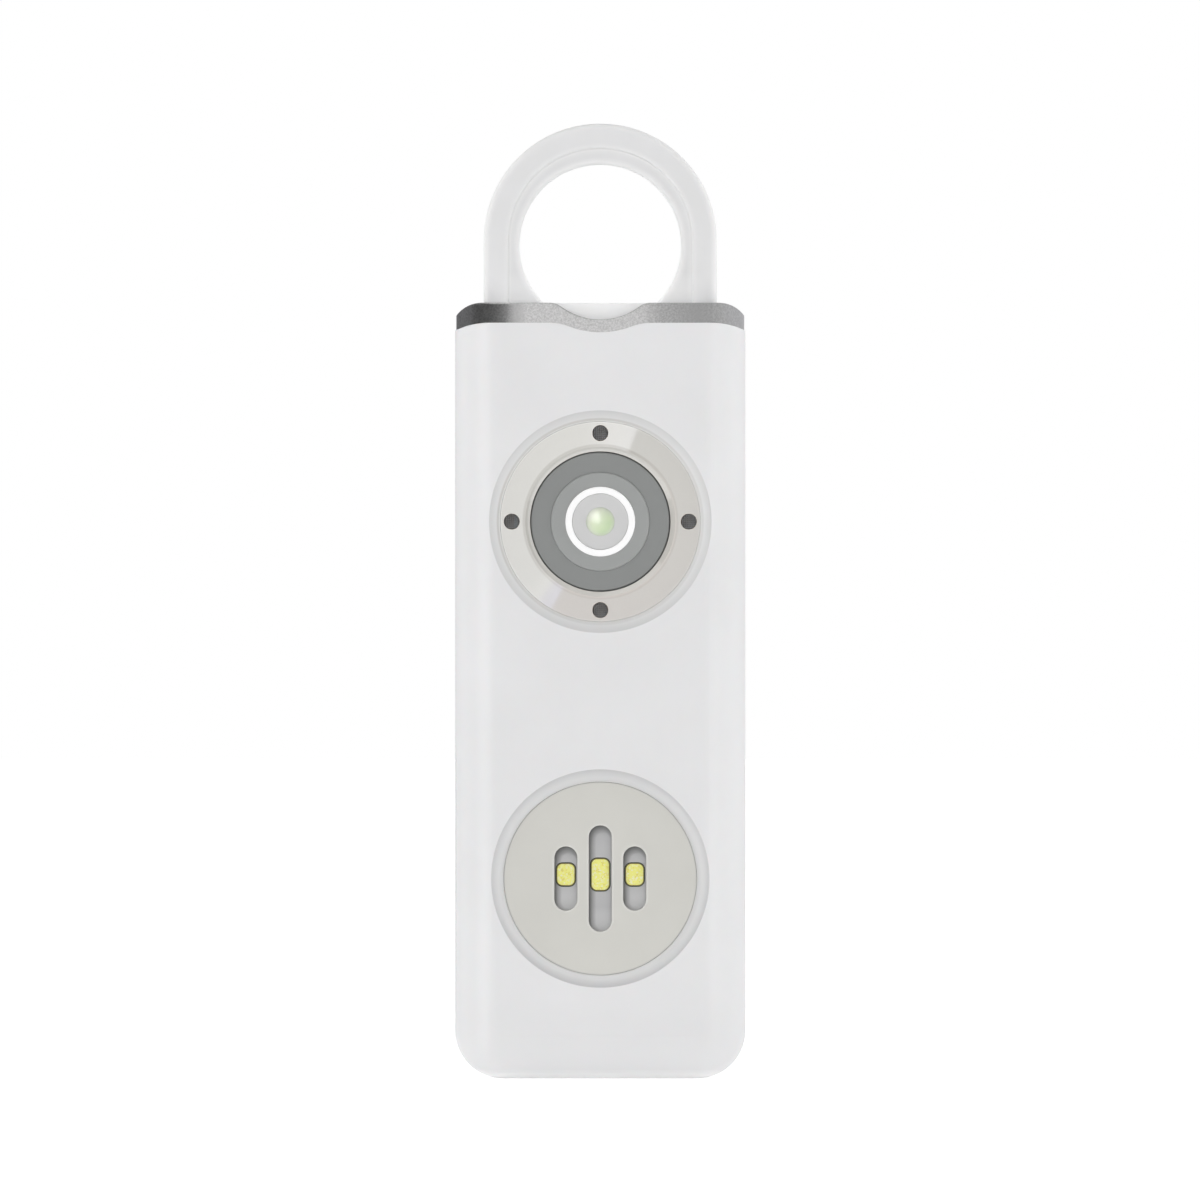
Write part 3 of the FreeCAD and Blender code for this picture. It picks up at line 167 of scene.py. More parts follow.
class Finish:
    """A node material that is built up step by step around one shader."""

    def __init__(self, name, colour, roughness, metallic=0.0, **sockets):
        self.material = bpy.data.materials.new(name)
        self.material.use_nodes = True
        self.tree = self.material.node_tree
        self.shader = self.tree.nodes["Principled BSDF"]
        self.place = self.add("ShaderNodeTexCoord").outputs["Object"]
        self.colour = srgb(colour)
        self.roughness = roughness
        self.normal = None
        self.shader.inputs["Metallic"].default_value = metallic
        for socket, value in sockets.items():
            self.shader.inputs[socket.replace("_", " ")].default_value = value

    def add(self, kind, **settings):
        """A new node with some settings."""
        node = self.tree.nodes.new(kind)
        for setting, value in settings.items():
            setattr(node, setting, value)
        return node

    def feed(self, socket, value):
        """Links an output to a socket, or sets the socket to a number or colour."""
        if isinstance(value, bpy.types.NodeSocket):
            self.tree.links.new(value, socket)
        else:
            socket.default_value = value

    def math(self, operation, *values):
        """What a math node makes of some numbers or outputs."""
        node = self.add("ShaderNodeMath", operation=operation)
        for socket, value in zip(node.inputs, values):
            self.feed(socket, value)
        return node.outputs[0]

    def both(self, first, second):
        """The product of two shares, 1 only where both are 1."""
        return self.math("MULTIPLY", first, second)

    def noise(self, size, detail=2.0, stretch=(1, 1, 1), roughness=0.5):
        """A noise from 0 to 1 whose features are about size metres across."""
        mapping = self.add("ShaderNodeMapping", vector_type="POINT")
        self.feed(mapping.inputs["Vector"], self.place)
        mapping.inputs["Scale"].default_value = [1 / (size * part) for part in stretch]
        noise = self.add("ShaderNodeTexNoise", noise_dimensions="3D")
        self.feed(noise.inputs["Vector"], mapping.outputs["Vector"])
        for socket, value in (("Scale", 1.0), ("Detail", detail), ("Roughness", roughness)):
            noise.inputs[socket].default_value = value
        return noise.outputs["Fac"]

    def cells(self, size):
        """A cell pattern whose cells are about size metres across."""
        cells = self.add("ShaderNodeTexVoronoi")
        self.feed(cells.inputs["Vector"], self.place)
        cells.inputs["Scale"].default_value = 1 / size
        return cells.outputs["Distance"]

    def axis(self, letter):
        """The X, Y or Z place on the object, in metres."""
        parts = self.add("ShaderNodeSeparateXYZ")
        self.feed(parts.inputs[0], self.place)
        return parts.outputs[letter]

    def reach(self, across, up):
        """The distance that two distances at a right angle make."""
        total = self.math("ADD", self.math("POWER", across, 2.0), self.math("POWER", up, 2.0))
        return self.math("SQRT", total)

    def radius(self, centre_z):
        """The distance from the line along Y at centre_z."""
        return self.reach(self.axis("X"), self.math("SUBTRACT", self.axis("Z"), centre_z))

    def lower_right(self, centre_z, reach):
        """0 at the upper left of the line along Y at centre_z and 1 at its lower right."""
        slant = self.math("SUBTRACT", self.axis("X"), self.math("SUBTRACT", self.axis("Z"), centre_z))
        return self.spread(slant, -reach, reach)

    def band(self, distance, inner, outer, blur):
        """1 where a distance is between two others, and 0 elsewhere."""
        return self.hill(distance, inner - blur, inner, outer - blur, outer)

    def hill(self, value, begin, full, still_full, end):
        """1 in the middle of a range and 0 outside it, with a slope on each side."""
        return self.both(self.fall(value, still_full, end), self.spread(value, begin, full))

    def spread(self, value, low, high, to_low=0.0, to_high=1.0):
        """The value taken from one range to another, held at the ends."""
        node = self.add("ShaderNodeMapRange", clamp=True)
        for socket, number in zip(node.inputs, (value, low, high, to_low, to_high)):
            self.feed(socket, number)
        return node.outputs["Result"]

    def fall(self, value, low, high):
        """1 below a range, 0 above it and a slope between."""
        return self.spread(value, low, high, 1.0, 0.0)

    def mix(self, share, first, second):
        """A colour that goes from the first to the second with a share from 0 to 1."""
        node = self.add("ShaderNodeMix", data_type="RGBA")
        for socket, value in ((0, share), (6, first), (7, second)):
            self.feed(node.inputs[socket], value)
        return node.outputs[2]

    def edges(self, radius):
        """About 1 near the object's outer and inner edges and 0 elsewhere."""
        soft = self.add("ShaderNodeBevel", samples=BEVEL_SAMPLES)
        soft.inputs["Radius"].default_value = radius
        plain = self.add("ShaderNodeNewGeometry")
        product = self.add("ShaderNodeVectorMath", operation="DOT_PRODUCT")
        self.feed(product.inputs[0], soft.outputs["Normal"])
        self.feed(product.inputs[1], plain.outputs["Normal"])
        return self.spread(product.outputs["Value"], EDGE_NONE, EDGE_FULL)

    def soften(self, radius):
        """Rounds sharp edges in the light's eyes."""
        soft = self.add("ShaderNodeBevel", samples=BEVEL_SAMPLES)
        soft.inputs["Radius"].default_value = radius
        self.normal = soft.outputs["Normal"]
        return self

    def bump(self, height, depth):
        """Adds relief: the height's 0 to 1 is depth metres."""
        node = self.add("ShaderNodeBump")
        node.inputs["Distance"].default_value = depth
        self.feed(node.inputs["Height"], height)
        if self.normal is not None:
            self.feed(node.inputs["Normal"], self.normal)
        self.normal = node.outputs["Normal"]
        return self

    def tint(self, share, code):
        """Goes towards another colour by a share from 0 to 1."""
        self.colour = self.mix(share, self.colour, srgb(code))
        return self

    def gloss(self, share, roughness):
        """Goes towards another roughness by a share from 0 to 1."""
        self.roughness = self.spread(share, 0.0, 1.0, self.roughness, roughness)
        return self

    def dress(self, *names):
        """Finishes the material and gives it to the CAD nodes."""
        self.feed(self.shader.inputs["Base Color"], self.colour)
        self.feed(self.shader.inputs["Roughness"], self.roughness)
        if self.normal is not None:
            self.feed(self.shader.inputs["Normal"], self.normal)
        for name in names:
            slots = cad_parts[name].data.materials
            for index in range(len(slots)):
                slots[index] = self.material
        return self.material


def moulded(name, colour, shade, worn, roughness, grain, depth, **sockets):
    """Moulded plastic: faint flow shades, a fine eroded grain and worn edges."""
    finish = Finish(name, colour, roughness, **sockets).soften(0.08 * MM)
    finish.tint(finish.spread(finish.noise(9 * MM, 3.0), 0.35, 0.7, 0.0, 0.8), shade)
    finish.tint(finish.both(finish.edges(0.22 * MM), finish.noise(1.5 * MM, 3.0)), worn)
    finish.gloss(finish.noise(2.5 * MM, 4.0), roughness * 1.25)
    finish.bump(finish.noise(grain, 3.0, roughness=0.6), depth)
    return finish


def plated(name, colour, shade, roughness, size, depth, stretch=(1, 1, 1)):
    """Metal: cloudy shades, fine marks and brighter edges."""
    finish = Finish(name, colour, roughness, metallic=1.0).soften(0.04 * MM)
    finish.tint(finish.spread(finish.noise(2 * MM, 4.0, stretch), 0.3, 0.8), shade)
    finish.tint(finish.both(finish.edges(0.12 * MM), 0.5), "F2F2F0")
    finish.gloss(finish.noise(0.7 * MM, 4.0, stretch), roughness * 1.5)
    finish.bump(finish.noise(size, 3.0, stretch), depth)
    return finish


# Finishes of the pieces that show
def case_white(name):
    """White moulding with a fine line where the two shells meet."""
    white = moulded(name, "E3E3E4", "DFDFE0", "EBEBEC", roughness=0.42, grain=0.16 * MM, depth=0.0012 * MM,
                    Subsurface_Weight=0.06, Subsurface_Scale=0.6 * MM)
    from_parting = white.math("ABSOLUTE", white.math("SUBTRACT", white.axis("Y"), PARTING_Y))
    return white.tint(white.spread(from_parting, PARTING_WIDTH, 2 * PARTING_WIDTH, 0.7, 0.0), "8C8C8B")


def paint_bevel_shade(front, centre_z, inner, width, near_tint, far_tint):
    """Painted shade on the bevel round an inset, darker outwards, and a painted light line inside it."""
    from_axis = front.radius(centre_z)
    bevel = front.band(from_axis, inner, inner + width, 0.06 * MM)
    front.tint(bevel, near_tint)
    outward = front.spread(from_axis, inner + 0.35 * width, inner + 0.9 * width)
    front.tint(front.both(bevel, outward), far_tint)
    front.tint(front.band(from_axis, inner - 0.3 * MM, inner - 0.02 * MM, 0.05 * MM), "EAEAEA")


def paint_bezel_gap_shade(front):
    """Painted shade: a dark line round the siren bezel, weaker at its lower right, and a darker lip inside
    it.
    """
    from_bezel = front.radius(BEZEL_Z)
    painted_shade_band = front.band(from_bezel, BEZEL_RADIUS + 0.16 * MM, BEZEL_RADIUS + 0.4 * MM, 0.14 * MM)
    low_right = front.lower_right(BEZEL_Z, 10 * MM)
    front.tint(front.both(painted_shade_band, front.math("MULTIPLY_ADD", low_right, -0.6, 1.0)), "C2C1BE")
    lip = front.fall(from_bezel, BEZEL_RADIUS + 0.06 * MM, BEZEL_RADIUS + 0.12 * MM)
    front.tint(lip, "D9D8D5")
    front.tint(front.both(lip, low_right), "CBCAC7")


def dress_case():
    """The white shells. The front one has painted shade round its insets and along its bottom edge, and
    painted light on its edges.
    """
    case_white("case_white_finish").dress("rear_shell", "battery_cover")
    front = case_white("case_front_finish")
    # Painted shade on the bevels round the siren and the lamp cover
    paint_bevel_shade(front, BEZEL_Z, BEZEL_RADIUS, BEVEL_WIDTH, "D5D5D5", "CACACA")
    paint_bevel_shade(front, LAMP_Z, LAMP_RADIUS, COVE_WIDTH, "D4D4D4", "C5C5C6")
    # Painted shade round the siren bezel
    paint_bezel_gap_shade(front)
    # Painted shade in the hole round the lamp cover
    front.tint(front.fall(front.radius(LAMP_Z), LAMP_RADIUS + 0.04 * MM, LAMP_RADIUS + 0.16 * MM), "CACAC8")
    # Painted highlight along the front shell's edges
    front.tint(front.both(front.edges(0.18 * MM), 0.6), "F4F4F4")
    # Painted shade, darker towards the bottom
    front.tint(front.spread(front.axis("Z"), 2.5 * MM, 9 * MM, 0.8, 0.0), "DEDEDF")
    # Painted light on the lowest millimetre, where the floor shades it
    front.tint(front.fall(front.axis("Z"), 0.3 * MM, 1.0 * MM), "ECECEC")
    front.dress("front_shell")


def dress_cap():
    """Satin metal with a fine grain. Its ends bow back in the light's eyes, and painted shade and highlight
    change it across.
    """
    cap = Finish("cap_metal_finish", "D0D0D0", 0.27, metallic=1.0)
    across = cap.axis("X")
    left_bow = cap.math("SMOOTH_MAX", cap.math("SUBTRACT", CAP_BOW_LEFT_X, across), 0.0, 2 * MM)
    right_bow = cap.math("SMOOTH_MAX", cap.math("SUBTRACT", across, CAP_BOW_RIGHT_X), 0.0, 3 * MM)
    cap.tint(cap.spread(cap.noise(0.22 * MM, 4.0, roughness=0.75), 0.4, 0.6), "B4B4B4")
    # Painted shade in a band on each side, painted highlight at the right end and along the edges
    cap.tint(cap.both(cap.hill(across, *CAP_PAINTED_SHADE_RIGHT), 0.7), "B4B4B4")
    cap.tint(cap.spread(across, 11.5 * MM, 13 * MM, 0.0, 0.35), "DEDEDE")
    cap.tint(cap.both(cap.hill(across, *CAP_PAINTED_SHADE_LEFT), 0.7), "B0B0B0")
    cap.tint(cap.both(cap.edges(0.14 * MM), 0.35), "DEDEDF")
    cap.gloss(cap.noise(0.5 * MM, 4.0), 0.36)
    cap.bump(cap.math("MULTIPLY_ADD", left_bow, 1.35, right_bow), -0.24)
    cap.bump(cap.noise(0.13 * MM, 3.0, roughness=0.7), 0.011 * MM)
    cap.dress("top_cap")


def dress_ring():
    """Milky plastic with painted light along the ring's edges, its step and its foot, where the cap shades
    it.
    """
    milky = Finish("ring_milky_finish", "E5E5E6", 0.4, Subsurface_Weight=0.25, Subsurface_Scale=0.5 * MM)
    milky.shader.inputs["Subsurface Radius"].default_value = (1.0, 0.95, 0.9)
    milky.soften(0.2 * MM)
    milky.tint(milky.spread(milky.noise(5 * MM, 3.0), 0.3, 0.7, 0.0, 0.7), "E1E1E1")
    above = milky.math("MAXIMUM", milky.math("SUBTRACT", milky.axis("Z"), RING_Z), 0.0)
    from_ring = milky.reach(milky.axis("X"), above)
    step = RING_STEP_RADIUS
    # Painted light along the step, against the shade in its corner, and on the rim beside it
    milky.tint(milky.band(from_ring, step - 0.16 * MM, step + 0.06 * MM, 0.1 * MM), "F6F6F6")
    milky.tint(milky.band(from_ring, step - 0.1 * MM, step + 0.6 * MM, 0.5 * MM), "E9E9E9")
    # Painted light along the outer edge and round the hole
    milky.tint(milky.spread(from_ring, RING_EDGE_RADIUS - 0.7 * MM, RING_EDGE_RADIUS - 0.35 * MM), "EAEAEA")
    from_hole = milky.radius(RING_Z - RING_HOLE_DROP)
    milky.tint(milky.fall(from_hole, RING_HOLE_RADIUS + 0.35 * MM, RING_HOLE_RADIUS + 0.75 * MM), "EBEBEB")
    # Painted light at the foot, where the cap shades it
    low = milky.fall(milky.axis("Z"), RING_FOOT_Z, RING_FOOT_Z + RING_FOOT_HEIGHT)
    foot = milky.both(low, milky.fall(from_ring, RING_EDGE_RADIUS - 2.8 * MM, RING_EDGE_RADIUS - 1 * MM))
    milky.tint(milky.both(foot, 0.7), "FFFFFF")
    milky.gloss(milky.noise(1.8 * MM, 4.0), 0.5)
    milky.bump(milky.noise(0.22 * MM, 3.0), 0.0016 * MM)
    milky.dress("pull_ring")


def dress_bezel():
    """Pearl lacquer with fine flakes under a clear coat, painted highlight on its edges and outer rim, and
    painted shade on its inner slope.
    """
    pearl = Finish("bezel_pearl_finish", "D0CFCA", 0.34, metallic=0.05, Coat_Weight=1.0, Coat_Roughness=0.03,
                   Coat_IOR=1.8)
    flakes = pearl.cells(0.09 * MM)
    pearl.tint(pearl.spread(flakes, 0.1, 0.6, 0.0, 0.5), "C8C7C2")
    # Painted highlight along the edges
    pearl.tint(pearl.both(pearl.edges(0.16 * MM), 0.8), "E9DFD2")
    rim = pearl.radius(BEZEL_Z)
    slope_end = BEZEL_INNER_RADIUS + 0.3 * MM
    # Painted shade on the inner slope, lighter towards the lower right
    pearl.tint(pearl.band(rim, BEZEL_INNER_RADIUS - 0.2 * MM, slope_end, 0.16 * MM), "B9B7B1")
    inner_rim = pearl.fall(rim, BEZEL_INNER_RADIUS, slope_end)
    pearl.tint(pearl.both(inner_rim, pearl.lower_right(BEZEL_Z, 4 * MM)), "CFCCC6")
    # Painted light on the outer rim
    pearl.tint(pearl.spread(rim, BEZEL_RADIUS - 0.2 * MM, BEZEL_RADIUS - 0.1 * MM), "DBDAD6")
    pearl.gloss(pearl.noise(0.3 * MM, 3.0), 0.42)
    pearl.bump(pearl.noise(0.6 * MM, 2.0), 0.0008 * MM)
    pearl.dress("siren_bezel")


def dress_button():
    """Dark and mid grey discs, the white ring, with a faint painted glow, and the light grey disc in it."""
    moulded("button_dark_grey_finish", "8B8D8C", "868887", "9A9C9B", roughness=0.45, grain=0.12 * MM,
            depth=0.001 * MM).dress("button_cap")
    moulded("button_mid_grey_finish", "9FA1A0", "999B9A", "AEB0AF", roughness=0.5, grain=0.12 * MM,
            depth=0.001 * MM).dress("button_pad")
    # The white ring has a faint painted glow
    moulded("button_white_finish", "FEFEFE", "FBFBFB", "FEFEFE", roughness=0.35, grain=0.12 * MM,
            depth=0.0008 * MM, Emission_Color=srgb("FFFFFF"),
            Emission_Strength=0.03).dress("button_white_ring")
    moulded("button_light_grey_finish", "D4D4D4", "CFCFCF", "DADADA", roughness=0.5, grain=0.12 * MM,
            depth=0.001 * MM).dress("button_insert")


def dress_dome():
    """Pale green dome under a clear coat, with painted light towards the upper left and round its rim."""
    lens = Finish("lens_green_finish", "C3DAAE", 0.3, Subsurface_Weight=0.4, Subsurface_Scale=0.5 * MM,
                  Coat_Weight=1.0, Coat_Roughness=0.32)
    lens.shader.inputs["Subsurface Radius"].default_value = (1.0, 1.0, 0.9)
    # Painted light towards the upper left, and round the rim below
    painted_light_slant = lens.math("SUBTRACT", lens.axis("Z"), lens.axis("X"))
    lens.tint(lens.spread(painted_light_slant, BEZEL_Z - 1.6 * MM, BEZEL_Z + 1.6 * MM), "DCE1CD")
    lens.tint(lens.spread(lens.noise(1.1 * MM, 2.0), 0.35, 0.7, 0.0, 0.3), "DDEBC2")
    lens.tint(lens.spread(lens.radius(BEZEL_Z), DOME_RADIUS - 0.4 * MM, DOME_RADIUS, 0.0, 0.6), "DDE4D2")
    lens.gloss(lens.noise(0.4 * MM, 3.0), 0.36)
    lens.bump(lens.noise(0.5 * MM, 2.0), 0.001 * MM)
    lens.dress("button_lens")


def slot_distance(finish, shift):
    """How far a place is from the nearest slot, below 0 in it. A shift moves the slots right and down."""
    nearest = 1.0
    for centre_x, half_length in SLOTS:
        across = finish.math("SUBTRACT", finish.axis("X"), centre_x + shift)
        from_middle = finish.math("ABSOLUTE", finish.math("SUBTRACT", finish.axis("Z"), LAMP_Z - shift))
        past_end = finish.math("MAXIMUM", finish.math("SUBTRACT", from_middle, half_length), 0.0)
        nearest = finish.math("MINIMUM", nearest, finish.reach(across, past_end))
    return finish.math("SUBTRACT", nearest, SLOT_RADIUS)


def dress_lamp_cover():
    """Matte cover with a painted highlight round the slots' edges, painted shade on the slot walls deep in
    them and round its rim.
    """
    cover = moulded("lamp_cover_grey_finish", "D3D2CC", "CECDC7", "E0DFDB", roughness=0.55, grain=0.1 * MM,
                    depth=0.0016 * MM)
    from_slot = slot_distance(cover, 0.0)
    # Painted highlight round the slots' edges
    cover.tint(cover.spread(from_slot, 0.1 * MM, 0.26 * MM, 0.6, 0.0), "DEDDD9")
    deep = cover.spread(cover.axis("Y"), LAMP_LOW.y + 0.1 * MM, LAMP_LOW.y + 0.3 * MM)
    # Painted shade on the slot walls, dark so that the slot floors lie in shade
    cover.tint(cover.both(deep, cover.fall(from_slot, 0.1 * MM, 0.2 * MM)), "757573")
    # Painted shade round the rim
    cover.tint(cover.spread(cover.radius(LAMP_Z), LAMP_RADIUS - 0.25 * MM, LAMP_RADIUS - 0.09 * MM), "C6C5C1")
    cover.dress("lamp_cover")


def dress_lamp_tray():
    """Grey floor of the slots, with painted light towards their low ends and a painted shadow along their
    upper left walls.
    """
    tray = moulded("lamp_tray_grey_finish", "D4D4D5", "CFCFD0", "D8D8D8", roughness=0.6, grain=0.15 * MM,
                   depth=0.0015 * MM)
    side_half, middle_half = SLOTS[0][1], SLOTS[1][1]
    in_middle = tray.math("LESS_THAN", tray.math("ABSOLUTE", tray.axis("X")), SLOTS[2][0] / 2)
    slot_reach = tray.math("MULTIPLY_ADD", in_middle, middle_half - side_half, side_half + SLOT_RADIUS)
    from_low_end = tray.math("ADD", tray.math("SUBTRACT", tray.axis("Z"), LAMP_Z), slot_reach)
    # Painted light towards the slots' low ends
    tray.tint(tray.spread(from_low_end, 0.4 * MM, 2.6 * MM, 0.72, 0.0), "FFFFFF")
    # Painted shadow along the slots' upper left walls
    tray.tint(tray.spread(slot_distance(tray, 0.28 * MM), -0.5 * MM, 0.3 * MM, 0.0, 0.8), "6E6E6C")
    tray.dress("lamp_tray")


def dress_lamps():
    """Olive lamp housings, and their mottled yellow faces, with a painted highlight round their edges and a
    faint painted glow.
    """
    moulded("lamp_housing_finish", "92875C", "867B52", "A3986E", roughness=0.4, grain=0.08 * MM,
            depth=0.001 * MM).dress("lamp_led_packages")
    # The faces glow faintly, a painted light
    phosphor = Finish("phosphor_yellow_finish", "FFFE92", 0.38, Emission_Color=srgb("FFF880"),
                      Emission_Strength=0.1)
    mottle = phosphor.noise(0.42 * MM, 4.0, roughness=0.65)
    phosphor.tint(phosphor.spread(mottle, 0.46, 0.62), "E8E27C")
    phosphor.tint(phosphor.spread(phosphor.noise(0.24 * MM, 3.0, roughness=0.6), 0.53, 0.62), "FFFFDC")
    # Painted highlight round the faces' edges
    phosphor.tint(phosphor.both(phosphor.edges(0.3 * MM), 0.9), "FFFF98")
    phosphor.gloss(mottle, 0.5)
    phosphor.bump(mottle, 0.012 * MM)
    phosphor.dress("lamp_led_phosphors")


# Finishes of the pieces inside the case
def dress_inner_mouldings():
    """Plastic, resin, ferrite and ceramic parts inside the case."""
    for name, colour, shade, worn, roughness, grain, depth, nodes in (
            ("inner_plastic_finish", "D5D4CE", "CBCAC4", "E0DFDA", 0.5, 0.2, 0.002,
             ("battery_tray", "siren_chamber")),
            ("switch_black_finish", "2B2B2C", "232324", "3C3C3D", 0.45, 0.1, 0.001,
             ("tact_switches", "trigger_switch")),
            ("plunger_white_finish", "DDDCD6", "D3D2CC", "E8E7E2", 0.4, 0.1, 0.001,
             ("tact_plungers", "trigger_plunger")),
            ("chip_black_finish", "262627", "1F1F20", "343435", 0.6, 0.08, 0.002,
             ("driver_chip", "transistors")),
            ("indicator_resin_finish", "D9E6C6", "CFDDB9", "E6EFD8", 0.25, 0.1, 0.0006, ("indicator_led",)),
            ("capacitor_tan_finish", "B79A74", "A98C66", "C9B08E", 0.45, 0.1, 0.001, ("chip_capacitors",)),
            ("ferrite_finish", "3A3A3C", "303032", "4A4A4C", 0.55, 0.09, 0.003, ("coil_core",)),
            ("sounder_ceramic_finish", "E4DFD0", "DAD4C4", "EDE9DC", 0.5, 0.12, 0.0015, ("piezo_ceramic",))):
        moulded(name, colour, shade, worn, roughness, grain * MM, depth * MM).dress(*nodes)


def dress_boards():
    """Green circuit boards whose glass weave shows faintly."""
    board = Finish("circuit_board_finish", "1F5B3A", 0.4).soften(0.05 * MM)
    weave = board.both(board.noise(0.35 * MM, 1.0, (4, 1, 1)), board.noise(0.35 * MM, 1.0, (1, 1, 4)))
    board.tint(board.spread(weave, 0.1, 0.4), "2A6B46")
    board.gloss(board.noise(1.2 * MM, 3.0), 0.5)
    board.bump(weave, 0.004 * MM)
    board.dress("main_board", "lamp_board")


def dress_foam():
    """Black foam with open pores."""
    foam = Finish("foam_black_finish", "2A2A2B", 0.85)
    pores = foam.cells(0.28 * MM)
    foam.tint(foam.spread(pores, 0.1, 0.6), "3B3B3C")
    foam.gloss(pores, 0.95)
    foam.bump(pores, 0.05 * MM)
    foam.dress("foam_ring")


def dress_winding():
    """Copper wire, one dark line between each turn and the next."""
    winding = Finish("copper_wire_finish", "B5693A", 0.3, metallic=1.0)
    turns = winding.math("SINE", winding.math("MULTIPLY", winding.axis("Y"), math.tau / (0.14 * MM)))
    winding.tint(winding.spread(turns, -1.0, 0.2, 0.8, 0.0), "6E3A1C")
    winding.gloss(winding.noise(0.4 * MM), 0.4)
    winding.bump(turns, 0.02 * MM)
    winding.dress("coil_winding")


def dress_inner_metals():
    """Brass, nickel and steel parts inside the case, and the screws."""
    for name, colour, shade, roughness, size, depth, stretch, nodes in (
            ("sounder_brass_finish", "C9A45B", "B8934C", 0.3, 0.4, 0.001, (1, 1, 1), ("piezo_disc",)),
            ("contact_nickel_finish", "C6C3BA", "B4B1A8", 0.28, 0.15, 0.0012, (1, 1, 6),
             ("piezo_contacts", "negative_contact", "positive_contact")),
            ("spring_steel_finish", "B9BABC", "A5A6A9", 0.3, 0.12, 0.0012, (6, 1, 1), ("detent_clip",)),
            ("cell_steel_finish", "C3C4C5", "B5B6B8", 0.26, 0.2, 0.001, (1, 1, 5), ("coin_cells",)),
            ("screw_steel_finish", "B8B9BB", "9FA0A3", 0.3, 0.12, 0.002, (1, 1, 1),
             ("case_screws", "battery_cover_screw"))):
        plated(name, colour, shade, roughness, size * MM, depth * MM, stretch).dress(*nodes)


# Dust mesh
def dress_dust_mesh(piece):
    """Grey wire, on the woven piece and on the plain disc that it replaces."""
    grey = Finish("dust_mesh_finish", "C4C5C9", 0.5)
    grey.tint(grey.spread(grey.noise(0.8 * MM, 3.0), 0.3, 0.7), "B0B1B5")
    grey.gloss(grey.noise(0.3 * MM), 0.6)
    grey.bump(grey.noise(0.05 * MM), 0.002 * MM)
    piece.data.materials.append(grey.dress("siren_mesh"))


def wire(mesh, points, side):
    """A thin tube through points, whose ring of corners is spread along side and the depth."""
    rings = []
    for point in points:
        ring = []
        for count in range(WIRE_SIDES):
            angle = math.tau * count / WIRE_SIDES
            offset = side * math.cos(angle) + Vector((0, 1, 0)) * math.sin(angle)
            ring.append(mesh.verts.new(point + offset * WIRE_RADIUS))
        rings.append(ring)
    for near, far in zip(rings, rings[1:]):
        for count in range(WIRE_SIDES):
            after = (count + 1) % WIRE_SIDES
            mesh.faces.new((near[count], near[after], far[after], far[count]))
    mesh.faces.new(rings[0][::-1])
    mesh.faces.new(rings[-1])


def woven_mesh():
    """The dust mesh as crossing wires, each over one and under the next."""
    low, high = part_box("siren_mesh")
    outer = (high.x - low.x) / 2 - WIRE_RADIUS
    inner = MESH_INNER_RADIUS + WIRE_RADIUS
    depth = (low.y + high.y) / 2
    mesh = bmesh.new()
    reach = int(outer / WIRE_PITCH)
    for upright in (False, True):
        side = Vector((1, 0, 0)) if upright else Vector((0, 0, 1))
        along = Vector((0, 0, 1)) if upright else Vector((1, 0, 0))
        for row in range(-reach, reach + 1):
            offset = abs(row * WIRE_PITCH)
            far = math.sqrt(outer ** 2 - offset ** 2)
            near = math.sqrt(inner ** 2 - offset ** 2) if offset < inner else -far
            spans = [(near, far), (-far, -near)] if offset < inner else [(-far, far)]
            for start, end in spans:
                first = math.ceil(start / WIRE_PITCH + END_SHARE)
                last = math.floor(end / WIRE_PITCH - END_SHARE)
                places = [(start, first - 1)]
                places += [(step * WIRE_PITCH, step) for step in range(first, last + 1)]
                places.append((end, last + 1))
                run = []
                for place, step in places:
                    over = 1 if (row + step + upright) % 2 else -1
                    run.append(side * row * WIRE_PITCH + along * place
                               + Vector((0, depth + over * WIRE_SWAY, BEZEL_Z)))
                wire(mesh, run, side)
    mesh.normal_update()
    bmesh.ops.recalc_face_normals(mesh, faces=mesh.faces)
    data = bpy.data.meshes.new("siren_mesh_weave")
    mesh.to_mesh(data)
    mesh.free()
    for face in data.polygons:
        face.use_smooth = True
    piece = bpy.data.objects.new("siren_mesh_weave", data)
    bpy.context.scene.collection.objects.link(piece)
    return piece


# Finishes on the pieces, and the woven mesh in its place
dress_case()
dress_cap()
dress_ring()
dress_bezel()
dress_button()
dress_dome()
dress_lamp_cover()
dress_lamp_tray()
dress_lamps()
dress_inner_mouldings()
dress_boards()
dress_foam()
dress_winding()
dress_inner_metals()

weave_piece = woven_mesh()
dress_dust_mesh(weave_piece)
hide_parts("siren_mesh")
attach(weave_piece, "case")


# Makers of the stage: floor, world, lamps, reflecting cards and camera
def quad(width, height):
    """The corners and the face of a rectangle in the XY plane."""
    ends = ((-1, -1), (1, -1), (1, 1), (-1, 1))
    return [(across * width / 2, up * height / 2, 0) for across, up in ends], [(0, 1, 2, 3)]


def flat_ring(inner, outer, parts):
    """The corners and the faces of a flat ring in the XY plane."""
    corners = []
    faces = []
    for part in range(parts):
        angle = math.tau * part / parts
        corners += [(radius * math.cos(angle), radius * math.sin(angle), 0) for radius in (inner, outer)]
        after = (part + 1) % parts
        faces.append((2 * part, 2 * part + 1, 2 * after + 1, 2 * after))
    return corners, faces


def stage_plane(name, shape):
    """A flat shape that faces +Z, centred on its own origin."""
    data = bpy.data.meshes.new(name)
    data.from_pydata(shape[0], [], shape[1])
    plane = bpy.data.objects.new(name, data)
    bpy.context.scene.collection.objects.link(plane)
    return plane


def look(thing, place, target):
    """Puts a lamp, card or camera at a place, with its -Z side to the target."""
    thing.location = place
    thing.rotation_euler = (Vector(target) - Vector(place)).to_track_quat("-Z", "Y").to_euler()


